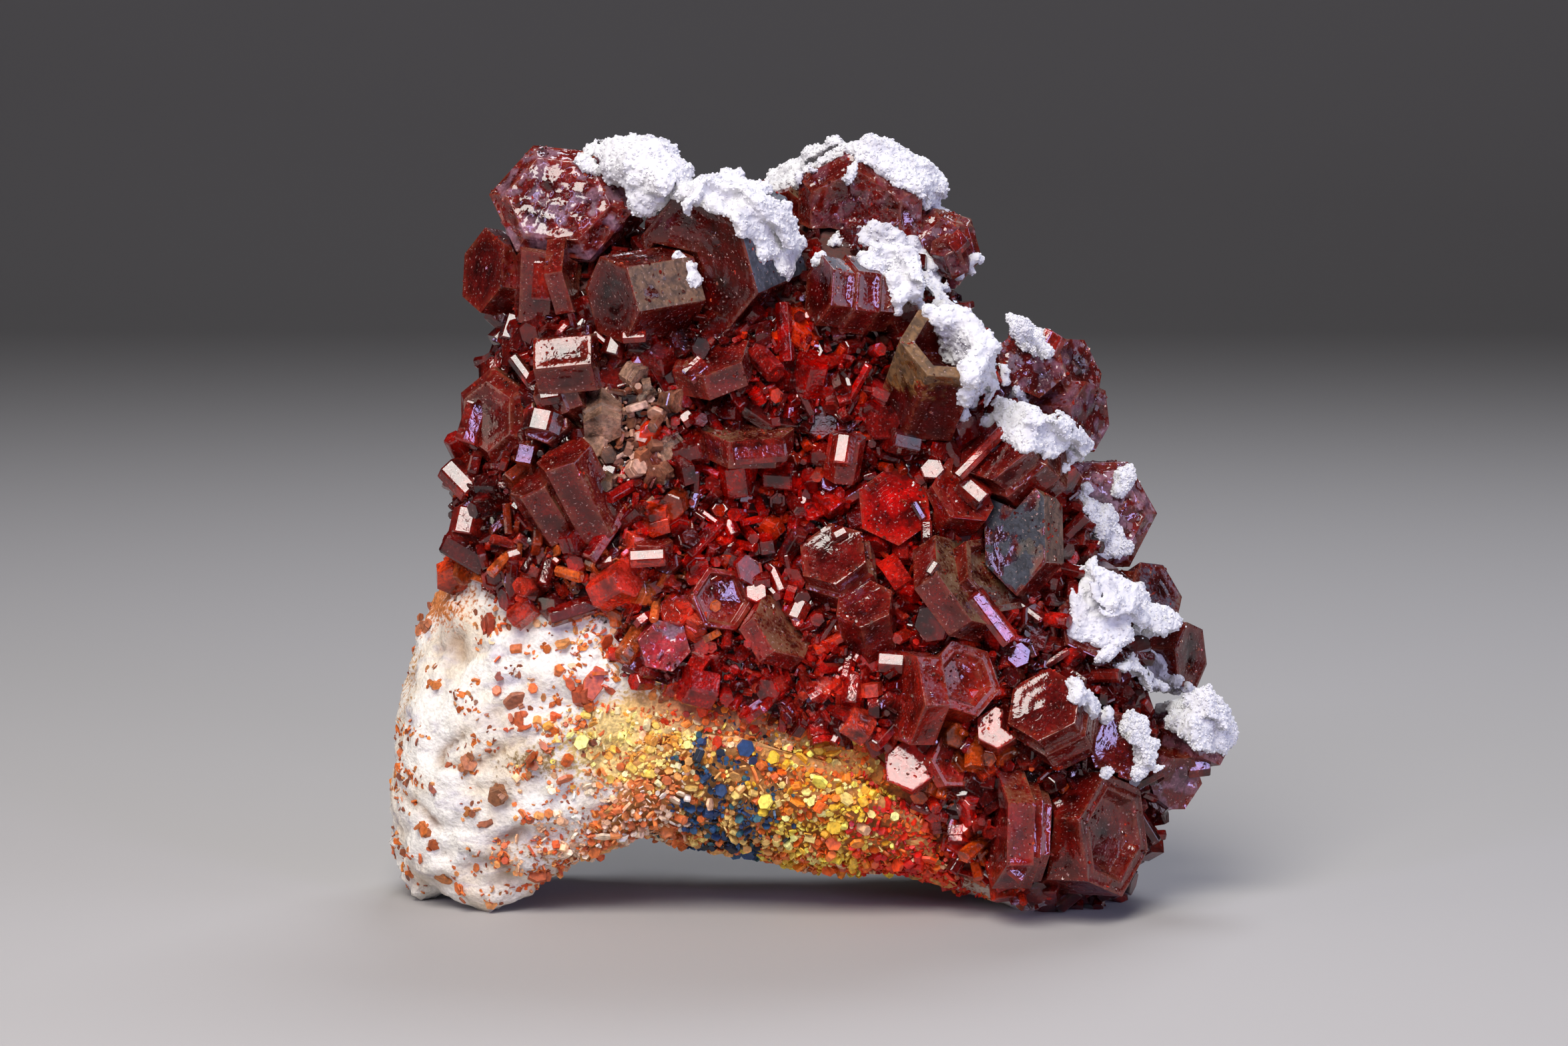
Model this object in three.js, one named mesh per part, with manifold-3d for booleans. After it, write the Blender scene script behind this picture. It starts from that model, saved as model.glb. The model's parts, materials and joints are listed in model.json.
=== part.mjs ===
// Vanadinite on matrix: a hand specimen of six-sided vanadinite crystals grown on a pale barite rock.
// Millimetres. +X runs right, +Y away from the front, +Z up.
// The finished group stands on z = 0 with its box centred on x = y = 0.
import * as THREE from "three";
import { mergeVertices } from "three/addons/utils/BufferGeometryUtils.js";
import Module from "manifold-3d";

const wasm = await Module();
wasm.setup();

// ---- Driving dimensions ----
const FIT_GAP = 0.3; // clearance between pieces that touch
const ROCK_FRONT_DEPTH = 13.5; // from mid depth to the front of the rock
const ROCK_BACK_DEPTH = 12.5;
const ROCK_SQUARENESS = 2.7; // 2 is a plain ellipse in section, more is flatter in front and behind
const ROCK_DETAIL = 5; // subdivision of the icosahedron that the rock is shaped from
const ROCK_CRAG = 0.55; // height of the rock's lumps
const FOOT_CUT = 1.8; // how much of the feet the flat cut takes off
const BASIN = { x: 1, z: 31, wide: 13, high: 11, deep: 4.5 }; // hollow in the middle of the front
const DRUSE_THICKNESS = 1.5; // carpet of small crystals
const DRUSE_RAMP = 0.7; // how steeply a carpet thins out at its edge
const LUMP_DETAIL = 0;
const LUMP_LIFT = 0.45; // how far a lump of crust stands out, as a share of its radius
const SIDES = 6; // vanadinite is hexagonal
const FAR = 200; // longer than anything here
const RAY_STEPS = 60; // tries of a ray on its way in from the edge
const CRYSTAL_FLOOR = 0.2; // the rock alone stands on the ground, and nothing else comes nearer to it

// Outline of the rock at mid depth, as [x, z] round its middle. The arch between its two feet comes last.
const ROCK_MIDDLE = [-4, 21];
const ROCK_OUTLINE = [
  [-25, -FOOT_CUT], [-28.8, -FOOT_CUT], [-31.3, 2], [-31.6, 7], [-31.2, 13], [-29.4, 19.5], [-26.6, 27],
  [-24.6, 36], [-22, 44.5], [-16.5, 50.2], [-8.5, 49.6], [0, 51], [6.5, 49.5], [11.5, 43.5], [15.5, 36],
  [19.5, 28], [23.2, 19], [25, 11], [24, 4], [19.5, -FOOT_CUT], [13, -FOOT_CUT], [8, 2.8], [0.5, 3.8],
  [-6, 5.2], [-11.5, 5.8], [-17.5, 4.6], [-21.8, 1.4],
];

// Lower edge of the red crystals across the front, as [x, z]: below it the rock or its stained skin shows.
const RED_EDGE = [
  [-33, 27], [-28, 25.5], [-22, 23], [-14, 21.5], [-9, 16.5],
  [-2, 14.5], [4, 12.5], [8, 8], [11, 2], [30, -4],
];

const COLOURS = {
  matrix: { color: 0xd9cdbb, roughness: 0.85 },
  stained: { color: 0xc98a2c, roughness: 0.8 },
  red: { color: 0xa02312, roughness: 0.25 },
  maroon: { color: 0x6b1d17, roughness: 0.3 },
  crust: { color: 0xe6e6ea, roughness: 0.9 },
};

// ---- Solids ----

/** A closed geometry as a manifold solid, with its faces pointing out. */
function solidOf(geometry) {
  const bare = geometry.clone();
  bare.deleteAttribute("normal");
  bare.deleteAttribute("uv");
  const merged = mergeVertices(bare, 1e-4);
  const vertProperties = new Float32Array(merged.attributes.position.array);
  const triVerts = new Uint32Array(merged.index.array);
  return new wasm.Manifold(new wasm.Mesh({ numProp: 3, vertProperties, triVerts }));
}

/** A manifold solid as a geometry. */
function geometryOf(solid) {
  const mesh = solid.getMesh();
  const stride = mesh.numProp;
  const points = new Float32Array(mesh.numVert * 3);
  for (let i = 0; i < mesh.numVert; i++) {
    points.set(mesh.vertProperties.subarray(i * stride, i * stride + 3), i * 3);
  }
  const geometry = new THREE.BufferGeometry();
  geometry.setAttribute("position", new THREE.BufferAttribute(points, 3));
  geometry.setIndex(new THREE.BufferAttribute(mesh.triVerts, 1));
  geometry.computeVertexNormals();
  return geometry;
}

/** The largest separate body of a solid. */
function largest(solid) {
  const bodies = solid.decompose();
  bodies.sort((a, b) => b.volume() - a.volume());
  return bodies[0];
}

/** The union of a list of solids. */
function joined(solids) {
  return solids.reduce((whole, next) => whole.add(next));
}

// ---- Rock ----

/** Distance from the rock's middle to its outline, in a direction given by its angle. */
const outlineRadius = (() => {
  const points = ROCK_OUTLINE.map(([x, z]) => new THREE.Vector3(x, z, 0));
  const curve = new THREE.CatmullRomCurve3(points, true, "centripetal");
  const samples = curve.getPoints(900).map((p) => {
    const [x, z] = [p.x - ROCK_MIDDLE[0], p.y - ROCK_MIDDLE[1]];
    return { angle: Math.atan2(z, x), radius: Math.hypot(x, z) };
  });
  samples.sort((a, b) => a.angle - b.angle);
  return (angle) => {
    const next = samples.findIndex((s) => s.angle >= angle);
    return samples[next < 0 ? 0 : next].radius;
  };
})();

/** A height between -1 and 1 that varies smoothly over a few millimetres. */
function lumps(p) {
  const broad = Math.sin(p.x * 0.31 + 1.7) * Math.sin(p.y * 0.43 + 0.4) + Math.sin(p.z * 0.37 + p.x * 0.19);
  const fine = Math.sin(p.x * 0.83 + p.z * 0.61) * Math.cos(p.y * 0.97 - p.z * 0.52 + 2.1);
  return (broad * 0.7 + fine) / 2;
}

/** How much of the hollow in the front lies at a place, from 0 to 1. */
function basinAt(x, z) {
  return Math.exp(-(((x - BASIN.x) / BASIN.wide) ** 2) - ((z - BASIN.z) / BASIN.high) ** 2);
}

/** The rock's surface as a geometry, moved outwards by growth(point) millimetres. */
function rockGeometry(growth) {
  const sphere = new THREE.IcosahedronGeometry(1, ROCK_DETAIL);
  sphere.deleteAttribute("normal");
  sphere.deleteAttribute("uv");
  const geometry = mergeVertices(sphere, 1e-5);
  const position = geometry.attributes.position;
  const p = new THREE.Vector3();
  for (let i = 0; i < position.count; i++) {
    p.fromBufferAttribute(position, i).normalize();
    const angle = Math.atan2(p.z, p.x);
    const ring = Math.sqrt(Math.max(0, 1 - p.y * p.y)) ** (2 / ROCK_SQUARENESS);
    const along = Math.sign(p.y) * Math.abs(p.y) ** (2 / ROCK_SQUARENESS);
    const radius = outlineRadius(angle) * ring;
    const x = ROCK_MIDDLE[0] + radius * Math.cos(angle);
    const z = ROCK_MIDDLE[1] + radius * Math.sin(angle);
    const depth = along < 0 ? ROCK_FRONT_DEPTH - BASIN.deep * basinAt(x, z) : ROCK_BACK_DEPTH;
    position.setXYZ(i, x, along * depth, z);
  }
  geometry.computeVertexNormals();
  const normal = geometry.attributes.normal;
  const n = new THREE.Vector3();
  for (let i = 0; i < position.count; i++) {
    p.fromBufferAttribute(position, i);
    n.fromBufferAttribute(normal, i);
    const away = ROCK_CRAG * lumps(p) + growth(p);
    p.addScaledVector(n, away);
    position.setXYZ(i, p.x, p.y, p.z);
  }
  return geometry;
}

const rockGrown = (growth) => solidOf(rockGeometry(growth));
const ground = solidOf(new THREE.BoxGeometry(FAR, FAR, FAR).translate(0, 0, -FAR / 2));
const raisedGround = ground.translate([0, 0, CRYSTAL_FLOOR]);
const bareRock = rockGrown(() => 0);
const rock = largest(bareRock.subtract(ground));
const rockClear = rockGrown(() => FIT_GAP);

// ---- Carpets of small crystals ----

/** Height of the red crystals' lower edge at x. */
function redEdge(x) {
  const next = Math.max(1, RED_EDGE.findIndex(([at]) => at >= x));
  const [[x0, z0], [x1, z1]] = [RED_EDGE[next - 1], RED_EDGE[next]];
  return z0 + ((x - x0) / (x1 - x0)) * (z1 - z0);
}

/** How far a point lies inside an ellipse on the rock's face, in millimetres, negative outside it. */
function insideEllipse(x, z, centreX, centreZ, wide, high) {
  const share = Math.hypot((x - centreX) / wide, (z - centreZ) / high);
  return (1 - share) * Math.min(wide, high);
}

/** For each carpet, how far inside its edge a point on the rock lies. */
const CARPETS = {
  druse_red: { inside: (p) => Math.min(p.z - redEdge(p.x), 45 - p.z, -p.y - 3), colour: "red" },
  druse_orange: {
    inside: (p) => Math.min(redEdge(p.x) - 0.9 - p.z, insideEllipse(p.x, p.z, -2, 9.5, 13, 9.5), -p.y - 2.5),
    colour: "stained",
  },
  druse_back: { inside: (p) => Math.min(insideEllipse(p.x, p.z, 5, 33, 13, 10), p.y - 3), colour: "red" },
};

function carpetThickness(inside) {
  return (p) => Math.max(-1, Math.min(DRUSE_THICKNESS, inside(p) * DRUSE_RAMP));
}

const carpets = Object.entries(CARPETS).map(([name, { inside, colour }]) => {
  const thickness = carpetThickness(inside);
  return {
    name,
    colour,
    solid: largest(rockGrown(thickness).subtract(rockClear).subtract(ground)),
    clear: rockGrown((p) => thickness(p) + FIT_GAP),
  };
});

// ---- Crystals ----

// Each form is a profile up the crystal's axis, as shares of its radius and of half its height.
const FORMS = {
  prism: [[0, -1], [1, -1], [1, 1], [0, 1]],
  bevelled: [[0, -1], [0.9, -1], [1, -0.8], [1, 0.56], [0.72, 1], [0, 1]],
  hopper: [[0, -1], [1, -1], [1, 1], [0.74, 1], [0.6, 0.7], [0, 0.66]],
  well: [[0, -1], [1, -1], [1, 1], [0.68, 1], [0.6, 0.1], [0, 0.04]],
  ring: [[0, -1], [1, -1], [1, 1], [0.82, 1], [0.74, 0.2], [0, 0.1]],
  stack: [[0, -1], [0.86, -1], [0.9, -0.46], [1, -0.38], [1, 0.3], [0.88, 0.38], [0.92, 1], [0, 1]],
};

/** Unit vector at yaw degrees right of straight towards the front, and pitch degrees above level. */
function direction(yaw, pitch) {
  const [a, e] = [THREE.MathUtils.degToRad(yaw), THREE.MathUtils.degToRad(pitch)];
  return new THREE.Vector3(Math.sin(a) * Math.cos(e), -Math.cos(a) * Math.cos(e), Math.sin(e));
}

/**
 * One crystal as a solid. form is a key of FORMS, r the radius to its corners, and h its height along its
 * axis, which points along yaw and pitch. With spin 0 a corner of its end face is uppermost, with spin 30
 * a side is. narrow squeezes it across one pair of sides.
 */
function crystalSolid({ centre, yaw, pitch, spin = 0, r, h, form = "prism", narrow = 1 }, gap = 0) {
  const [radius, half] = [r + gap, h / 2 + gap];
  const profile = FORMS[form].map(([across, up]) => new THREE.Vector2(across * radius, up * half));
  const geometry = new THREE.LatheGeometry(profile, SIDES);
  geometry.scale(narrow, 1, 1);
  geometry.rotateY(THREE.MathUtils.degToRad(spin));
  const axis = direction(yaw, pitch);
  const upper = new THREE.Vector3(0, 0, 1).projectOnPlane(axis).normalize();
  const side = new THREE.Vector3().crossVectors(axis, upper);
  geometry.applyMatrix4(new THREE.Matrix4().makeBasis(side, axis, upper).setPosition(centre));
  return solidOf(geometry);
}

/** Where a line along Y first meets one of these meshes. A line that misses moves in towards the middle. */
function surfaceAt(meshes, x, z, fromBehind = false) {
  const sign = fromBehind ? -1 : 1;
  const caster = new THREE.Raycaster();
  for (let i = 0; i < RAY_STEPS; i++) {
    const share = i / RAY_STEPS;
    const at = [x + (ROCK_MIDDLE[0] - x) * share, z + (ROCK_MIDDLE[1] - z) * share];
    caster.set(new THREE.Vector3(at[0], -sign * FAR, at[1]), new THREE.Vector3(0, sign, 0));
    const hit = caster.intersectObjects(meshes, false)[0];
    if (hit) return hit.point.y;
  }
  return 0;
}

const rayMaterial = new THREE.MeshBasicMaterial({ side: THREE.DoubleSide });
const asMesh = (solid) => new THREE.Mesh(geometryOf(solid), rayMaterial);
const rockMesh = asMesh(bareRock);

// Crystals that have grown into each other are one piece. at is [x, z] of a crystal's middle from the front,
// and lift is how far it stands out from the rock. Pieces with back true grow on the rock's far side.
const CRYSTALS = {
  crystal_top_left: { colour: "maroon", parts: [
    { at: [-18.2, 51.9], lift: 0.6, yaw: -10, pitch: 14, spin: 84, r: 5.5, h: 5.2, form: "bevelled",
      narrow: 0.84 }] },
  crystals_left_shoulder: { colour: "maroon", parts: [
    { at: [-22.3, 46.8], lift: 1.0, yaw: -56, pitch: 10, spin: 10, r: 3.2, h: 5.0 },
    { at: [-19.6, 46.6], lift: 2.2, yaw: 12, pitch: 72, spin: 0, r: 2.4, h: 5.6 },
    { at: [-17.9, 46.8], lift: 1.6, yaw: 74, pitch: 10, spin: 20, r: 3.2, h: 1.4 }] },
  crystal_upper_block: { colour: "maroon", parts: [
    { at: [-12.2, 45.8], lift: 2.2, yaw: -52, pitch: -6, spin: 18, r: 3.3, h: 6.0 }] },
  crystal_crown: { colour: "maroon", parts: [
    { at: [-6.6, 48.6], lift: 2.8, yaw: -34, pitch: -12, spin: 10, r: 5.6, h: 6.4, narrow: 0.92 }] },
  crystals_peak: { colour: "maroon", parts: [
    { at: [3.7, 51.2], lift: 0.4, yaw: -14, pitch: -8, spin: -4, r: 5.4, h: 6.2, form: "bevelled" },
    { at: [9.2, 48.7], lift: 1.6, yaw: 20, pitch: 6, spin: 14, r: 3.1, h: 3.6, form: "bevelled" },
    { at: [9.9, 48.3], lift: 2.0, yaw: -30, pitch: 48, spin: 15, r: 1.3, h: 2.4 }] },
  crystals_under_peak: { colour: "maroon", parts: [
    { at: [2.7, 45.8], lift: 2.8, yaw: -66, pitch: 8, spin: 8, r: 2.8, h: 5.4, form: "stack" },
    { at: [5.3, 45.4], lift: 2.0, yaw: -20, pitch: 40, spin: 22, r: 2.2, h: 3.4 }] },
  crystal_hollow_column: { colour: "maroon", parts: [
    { at: [8.6, 40.0], lift: 3.6, yaw: 16, pitch: 42, spin: 24, r: 3.5, h: 7.4, form: "well" }] },
  crystals_right_shoulder: { colour: "maroon", parts: [
    { at: [15.2, 39.8], lift: 1.2, yaw: 18, pitch: 22, spin: 5, r: 2.8, h: 4.4 },
    { at: [18.2, 39.2], lift: 0.2, yaw: 52, pitch: 16, spin: 25, r: 2.9, h: 3.4 },
    { at: [18.9, 36.5], lift: 0.6, yaw: 52, pitch: 0, spin: 12, r: 2.7, h: 3.4 }] },
  crystal_striped: { colour: "maroon", parts: [
    { at: [14.6, 33.7], lift: 3.4, yaw: -42, pitch: 34, spin: 20, r: 3.7, h: 5.6, form: "stack" }] },
  crystal_right_hexagon: { colour: "maroon", parts: [
    { at: [20.8, 29.0], lift: 0.8, yaw: 16, pitch: 4, spin: 30, r: 4.5, h: 4.4, form: "bevelled" }] },
  crystal_grey_face: { colour: "maroon", parts: [
    { at: [15.1, 28.6], lift: 2.4, yaw: -30, pitch: 8, spin: 6, r: 4.7, h: 3.0, narrow: 0.6 }] },
  crystals_leaning_plates: { colour: "maroon", parts: [
    { at: [10.3, 24.6], lift: 2.2, yaw: 62, pitch: 34, spin: 14, r: 4.2, h: 2.2 },
    { at: [12.4, 25.2], lift: 1.8, yaw: 50, pitch: 30, spin: 30, r: 3.3, h: 1.8, form: "ring" }] },
  crystals_centre_stack: { colour: "maroon", parts: [
    { at: [1.8, 25.9], lift: 1.8, yaw: -18, pitch: 38, spin: 16, r: 2.9, h: 4.6, form: "stack" },
    { at: [3.8, 22.4], lift: 2.2, yaw: -12, pitch: 44, spin: 2, r: 2.2, h: 4.4 }] },
  crystal_upper_bar: { colour: "maroon", parts: [
    { at: [-7.3, 40.6], lift: 1.6, yaw: -30, pitch: 62, spin: 18, r: 3.0, h: 2.0 }] },
  crystal_centre_bar: { colour: "maroon", parts: [
    { at: [-4.9, 35.2], lift: 2.2, yaw: 8, pitch: 76, spin: 30, r: 3.4, h: 2.0 }] },
  crystal_small_prism: { colour: "red", parts: [
    { at: [2.1, 34.1], lift: 2.4, yaw: 30, pitch: 72, spin: 10, r: 1.4, h: 3.4 }] },
  crystal_bright_red: { colour: "red", parts: [
    { at: [5.6, 30.3], lift: 1.2, yaw: 8, pitch: 12, spin: 4, r: 2.9, h: 2.2 }] },
  crystal_deep_block: { colour: "red", parts: [
    { at: [10.4, 30.9], lift: 1.0, yaw: 20, pitch: 28, spin: 22, r: 2.7, h: 3.6 }] },
  crystals_left_prisms: { colour: "maroon", parts: [
    { at: [-17.7, 40.9], lift: 3.2, yaw: 82, pitch: 6, spin: 30, r: 2.3, h: 4.2 },
    { at: [-18.0, 38.5], lift: 1.6, yaw: 70, pitch: 20, spin: 8, r: 2.0, h: 3.4, form: "stack" }] },
  crystal_left_small: { colour: "maroon", parts: [
    { at: [-19.0, 36.6], lift: 1.8, yaw: -18, pitch: 18, spin: 12, r: 1.9, h: 2.6 }] },
  crystal_left_hexagon: { colour: "maroon", parts: [
    { at: [-22.9, 36.7], lift: 1.4, yaw: -38, pitch: 4, spin: 4, r: 3.6, h: 3.0, form: "bevelled" }] },
  crystals_left_columns: { colour: "maroon", parts: [
    { at: [-16.7, 31.8], lift: 2.0, yaw: -48, pitch: 58, spin: 6, r: 2.2, h: 6.6 },
    { at: [-19.3, 30.6], lift: 1.6, yaw: -50, pitch: 54, spin: 20, r: 1.9, h: 4.6 }] },
  crystals_left_edge: { colour: "red", parts: [
    { at: [-24.6, 31.4], lift: 0.9, yaw: -56, pitch: 50, spin: 16, r: 1.4, h: 4.8 },
    { at: [-24.2, 29.0], lift: 1.0, yaw: -24, pitch: 14, spin: 10, r: 2.0, h: 2.4 }] },
  crystal_lower_bar: { colour: "red", parts: [
    { at: [-11.8, 27.6], lift: 1.6, yaw: 4, pitch: 76, spin: 18, r: 1.6, h: 1.5 }] },
  crystal_lower_hexagon: { colour: "red", parts: [
    { at: [-11.0, 20.7], lift: 1.2, yaw: 12, pitch: 2, spin: 16, r: 2.0, h: 1.8 }] },
  crystal_ring_plate: { colour: "red", parts: [
    { at: [-6.9, 23.9], lift: 1.4, yaw: 24, pitch: 14, spin: 20, r: 2.5, h: 1.3, form: "ring" }] },
  crystal_leaning_plate: { colour: "red", parts: [
    { at: [-2.8, 21.6], lift: 1.4, yaw: 48, pitch: 34, spin: 10, r: 2.8, h: 1.7 }] },
  crystals_tall_plates: { colour: "red", parts: [
    { at: [7.1, 17.0], lift: 1.8, yaw: -64, pitch: 4, spin: 28, r: 3.7, h: 2.0 },
    { at: [10.0, 17.8], lift: 1.6, yaw: 26, pitch: 22, spin: 10, r: 2.9, h: 3.6, form: "hopper" }] },
  crystal_lower_prism: { colour: "maroon", parts: [
    { at: [17.3, 15.1], lift: 2.4, yaw: -24, pitch: 34, spin: 4, r: 3.2, h: 5.4, form: "stack" }] },
  crystals_barrel: { colour: "red", parts: [
    { at: [13.9, 7.3], lift: 1.6, yaw: -78, pitch: 2, spin: 2, r: 4.5, h: 2.0 },
    { at: [15.4, 6.9], lift: 1.2, yaw: -84, pitch: 4, spin: 12, r: 4.2, h: 2.4, form: "stack" }] },
  crystal_base_right: { colour: "red", parts: [
    { at: [19.3, 6.4], lift: 0.8, yaw: 52, pitch: 4, spin: 8, r: 4.7, h: 6.2, form: "hopper" }] },
  crystals_pink_plates: { colour: "red", parts: [
    { at: [6.9, 11.8], lift: 1.2, yaw: -10, pitch: 24, spin: 8, r: 2.0, h: 1.2 },
    { at: [9.8, 12.2], lift: 1.4, yaw: 34, pitch: 16, spin: 24, r: 2.1, h: 1.1, form: "ring" }] },
  crystal_white_face: { colour: "red", parts: [
    { at: [13.1, 14.5], lift: 2.0, yaw: -4, pitch: 26, spin: 4, r: 1.6, h: 1.8 }] },
  crystal_right_flank: { colour: "maroon", parts: [
    { at: [26.2, 17.8], lift: -0.4, yaw: 58, pitch: 2, spin: 12, r: 2.8, h: 5.2 }] },
  crystal_right_crest: { colour: "maroon", parts: [
    { at: [23.9, 22.4], lift: 0.2, yaw: 46, pitch: 24, spin: 20, r: 2.8, h: 4.4 }] },
  crystal_under_crest: { colour: "maroon", parts: [
    { at: [19.6, 21.4], lift: 1.4, yaw: 20, pitch: 18, spin: 4, r: 2.8, h: 3.8 }] },
  crystals_right_tip: { colour: "maroon", parts: [
    { at: [27.8, 12.5], lift: -0.6, yaw: 48, pitch: 12, spin: 8, r: 2.5, h: 4.6 },
    { at: [26.0, 9.6], lift: 0.2, yaw: 28, pitch: -10, spin: 26, r: 2.3, h: 3.4 }] },
  crystal_right_inner: { colour: "red", parts: [
    { at: [21.9, 12.7], lift: 1.8, yaw: 10, pitch: 14, spin: 18, r: 2.7, h: 3.0 }] },
  crystals_back_top: { colour: "maroon", back: true, parts: [
    { at: [-2.0, 50.0], lift: 0.6, yaw: 168, pitch: 20, spin: 12, r: 4.0, h: 4.6, form: "hopper" },
    { at: [-7.0, 47.0], lift: 1.4, yaw: 204, pitch: 8, spin: 26, r: 2.8, h: 3.4 }] },
  crystals_back_right: { colour: "maroon", back: true, parts: [
    { at: [15.5, 30.0], lift: 1.2, yaw: 140, pitch: 16, spin: 20, r: 3.4, h: 4.0 },
    { at: [18.0, 25.2], lift: 0.8, yaw: 122, pitch: 4, spin: 6, r: 2.6, h: 3.4 }] },
  crystal_back_left: { colour: "maroon", back: true, parts: [
    { at: [-19.0, 38.0], lift: 0.8, yaw: 206, pitch: 12, spin: 14, r: 3.0, h: 3.6 }] },
  crystal_back_centre: { colour: "red", back: true, parts: [
    { at: [4.6, 34.6], lift: 1.4, yaw: 174, pitch: 14, spin: 8, r: 2.8, h: 2.6, form: "hopper" }] },
};

/** The crystals of one piece, each with its centre worked out from the rock's surface. */
function placed({ parts, back = false }) {
  return parts.map((part) => {
    const y = surfaceAt([rockMesh], part.at[0], part.at[1], back) + (back ? part.lift : -part.lift);
    return { ...part, centre: new THREE.Vector3(part.at[0], y, part.at[1]) };
  });
}

const crystals = [];
for (const [name, piece] of Object.entries(CRYSTALS)) {
  const parts = placed(piece);
  let solid = joined(parts.map((part) => crystalSolid(part))).subtract(rockClear).subtract(raisedGround);
  for (const earlier of crystals) solid = solid.subtract(earlier.clear);
  crystals.push({
    name,
    colour: piece.colour,
    solid: largest(solid),
    clear: joined(parts.map((part) => crystalSolid({ ...part, form: "prism" }, FIT_GAP))),
  });
}
for (const carpet of carpets) {
  for (const { clear } of crystals) carpet.solid = carpet.solid.subtract(clear);
  carpet.solid = largest(carpet.solid);
}

// ---- White crust ----

// Each crust is a run of lumps as [x, z, radius] seen from the front, standing on what has grown there.
const CRUSTS = {
  crust_top_left: [[-15.2, 56.0, 1.9], [-12.9, 55.2, 2.5], [-10.8, 53.8, 2.0]],
  crust_crown: [[-9.0, 52.6, 1.6], [-6.6, 53.0, 2.1], [-4.2, 52.2, 2.5], [-2.3, 49.8, 2.3]],
  crust_peak_left: [[-1.7, 54.2, 1.8], [0.2, 55.2, 2.2], [1.6, 56.2, 1.7]],
  crust_peak: [[4.4, 56.1, 1.9], [6.8, 54.9, 2.2], [9.0, 53.3, 2.1], [10.6, 51.4, 1.6]],
  crust_under_peak: [[2.2, 48.6, 1.6], [4.6, 48.4, 1.9], [6.8, 47.0, 2.1]],
  crust_ridge: [[8.4, 46.2, 2.2], [9.4, 44.0, 2.6], [11.2, 41.8, 2.9], [12.1, 38.9, 2.6]],
  crust_shoulder: [[12.8, 45.4, 1.9], [14.6, 43.3, 2.3], [16.6, 41.6, 1.9]],
  crust_striped: [[15.6, 36.8, 1.8], [17.8, 36.2, 2.3], [18.9, 34.2, 1.8]],
  crust_hexagon: [[20.0, 29.8, 1.7], [21.0, 28.0, 1.7]],
  crust_right_upper: [[19.6, 25.6, 2.0], [21.2, 23.4, 2.7], [23.6, 21.9, 2.5], [26.0, 20.9, 2.0]],
  crust_right_lower: [[22.0, 18.7, 2.0], [24.2, 17.3, 2.3], [25.9, 16.4, 1.9]],
  crust_tip: [[28.4, 15.2, 1.9], [30.0, 13.9, 1.9]],
  crust_inner_patch: [[23.2, 13.7, 1.5], [24.0, 12.0, 1.5]],
};

const grownMeshes = [rockMesh, ...[...carpets, ...crystals].map(({ solid }) => asMesh(solid))];

/** The lumps of one crust as one solid, each swollen by gap and within its radius in depth of the last. */
function crustSolid(run, gap = 0) {
  let last = null;
  return joined(run.map(([x, z, radius]) => {
    const y = surfaceAt(grownMeshes, x, z) - radius * LUMP_LIFT;
    last = last === null ? y : THREE.MathUtils.clamp(y, last - radius, last + radius);
    return solidOf(new THREE.IcosahedronGeometry(radius + gap, LUMP_DETAIL).translate(x, last, z));
  }));
}

const crusts = [];
for (const [name, run] of Object.entries(CRUSTS)) {
  let solid = crustSolid(run).subtract(rockClear);
  for (const { clear } of [...carpets, ...crystals, ...crusts]) solid = solid.subtract(clear);
  crusts.push({ name, colour: "crust", solid: largest(solid), clear: crustSolid(run, FIT_GAP) });
}

// ---- The specimen ----

const matrix = { name: "matrix", colour: "matrix", solid: rock };
const specimen = new THREE.Group();
for (const { name, colour, solid } of [matrix, ...carpets, ...crystals, ...crusts]) {
  const mesh = new THREE.Mesh(geometryOf(solid), new THREE.MeshStandardMaterial(COLOURS[colour]));
  mesh.name = name;
  specimen.add(mesh);
}
const box = new THREE.Box3().setFromObject(specimen);
const middle = box.getCenter(new THREE.Vector3());
specimen.position.set(-middle.x, -middle.y, -box.min.z);

export default specimen;
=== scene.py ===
"""Looks of a vanadinite on matrix specimen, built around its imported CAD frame.

Lengths in the dataclasses are in millimetres and meshes are in metres. +X runs right, -Y faces the front with
the crystals and +Z is up. The CAD nodes give each crystal, carpet and crust its place. Here they get bevelled
edges, growth relief, separate small crystals, sugary grains and the finishes of the real minerals.
"""

import json
import logging
import math
from dataclasses import dataclass, field
from enum import Enum
from functools import partial
from typing import Callable, Iterable, Sequence

import bmesh
import bpy
import numpy as np
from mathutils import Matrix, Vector, noise
from mathutils.bvhtree import BVHTree
from mathutils.kdtree import KDTree


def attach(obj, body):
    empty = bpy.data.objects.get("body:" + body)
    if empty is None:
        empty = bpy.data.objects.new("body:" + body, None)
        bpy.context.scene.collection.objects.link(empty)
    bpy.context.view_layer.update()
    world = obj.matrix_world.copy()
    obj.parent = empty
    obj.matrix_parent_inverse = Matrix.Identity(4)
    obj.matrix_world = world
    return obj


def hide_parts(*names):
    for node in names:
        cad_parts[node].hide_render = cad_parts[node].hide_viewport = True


log = logging.getLogger("specimen")

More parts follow.
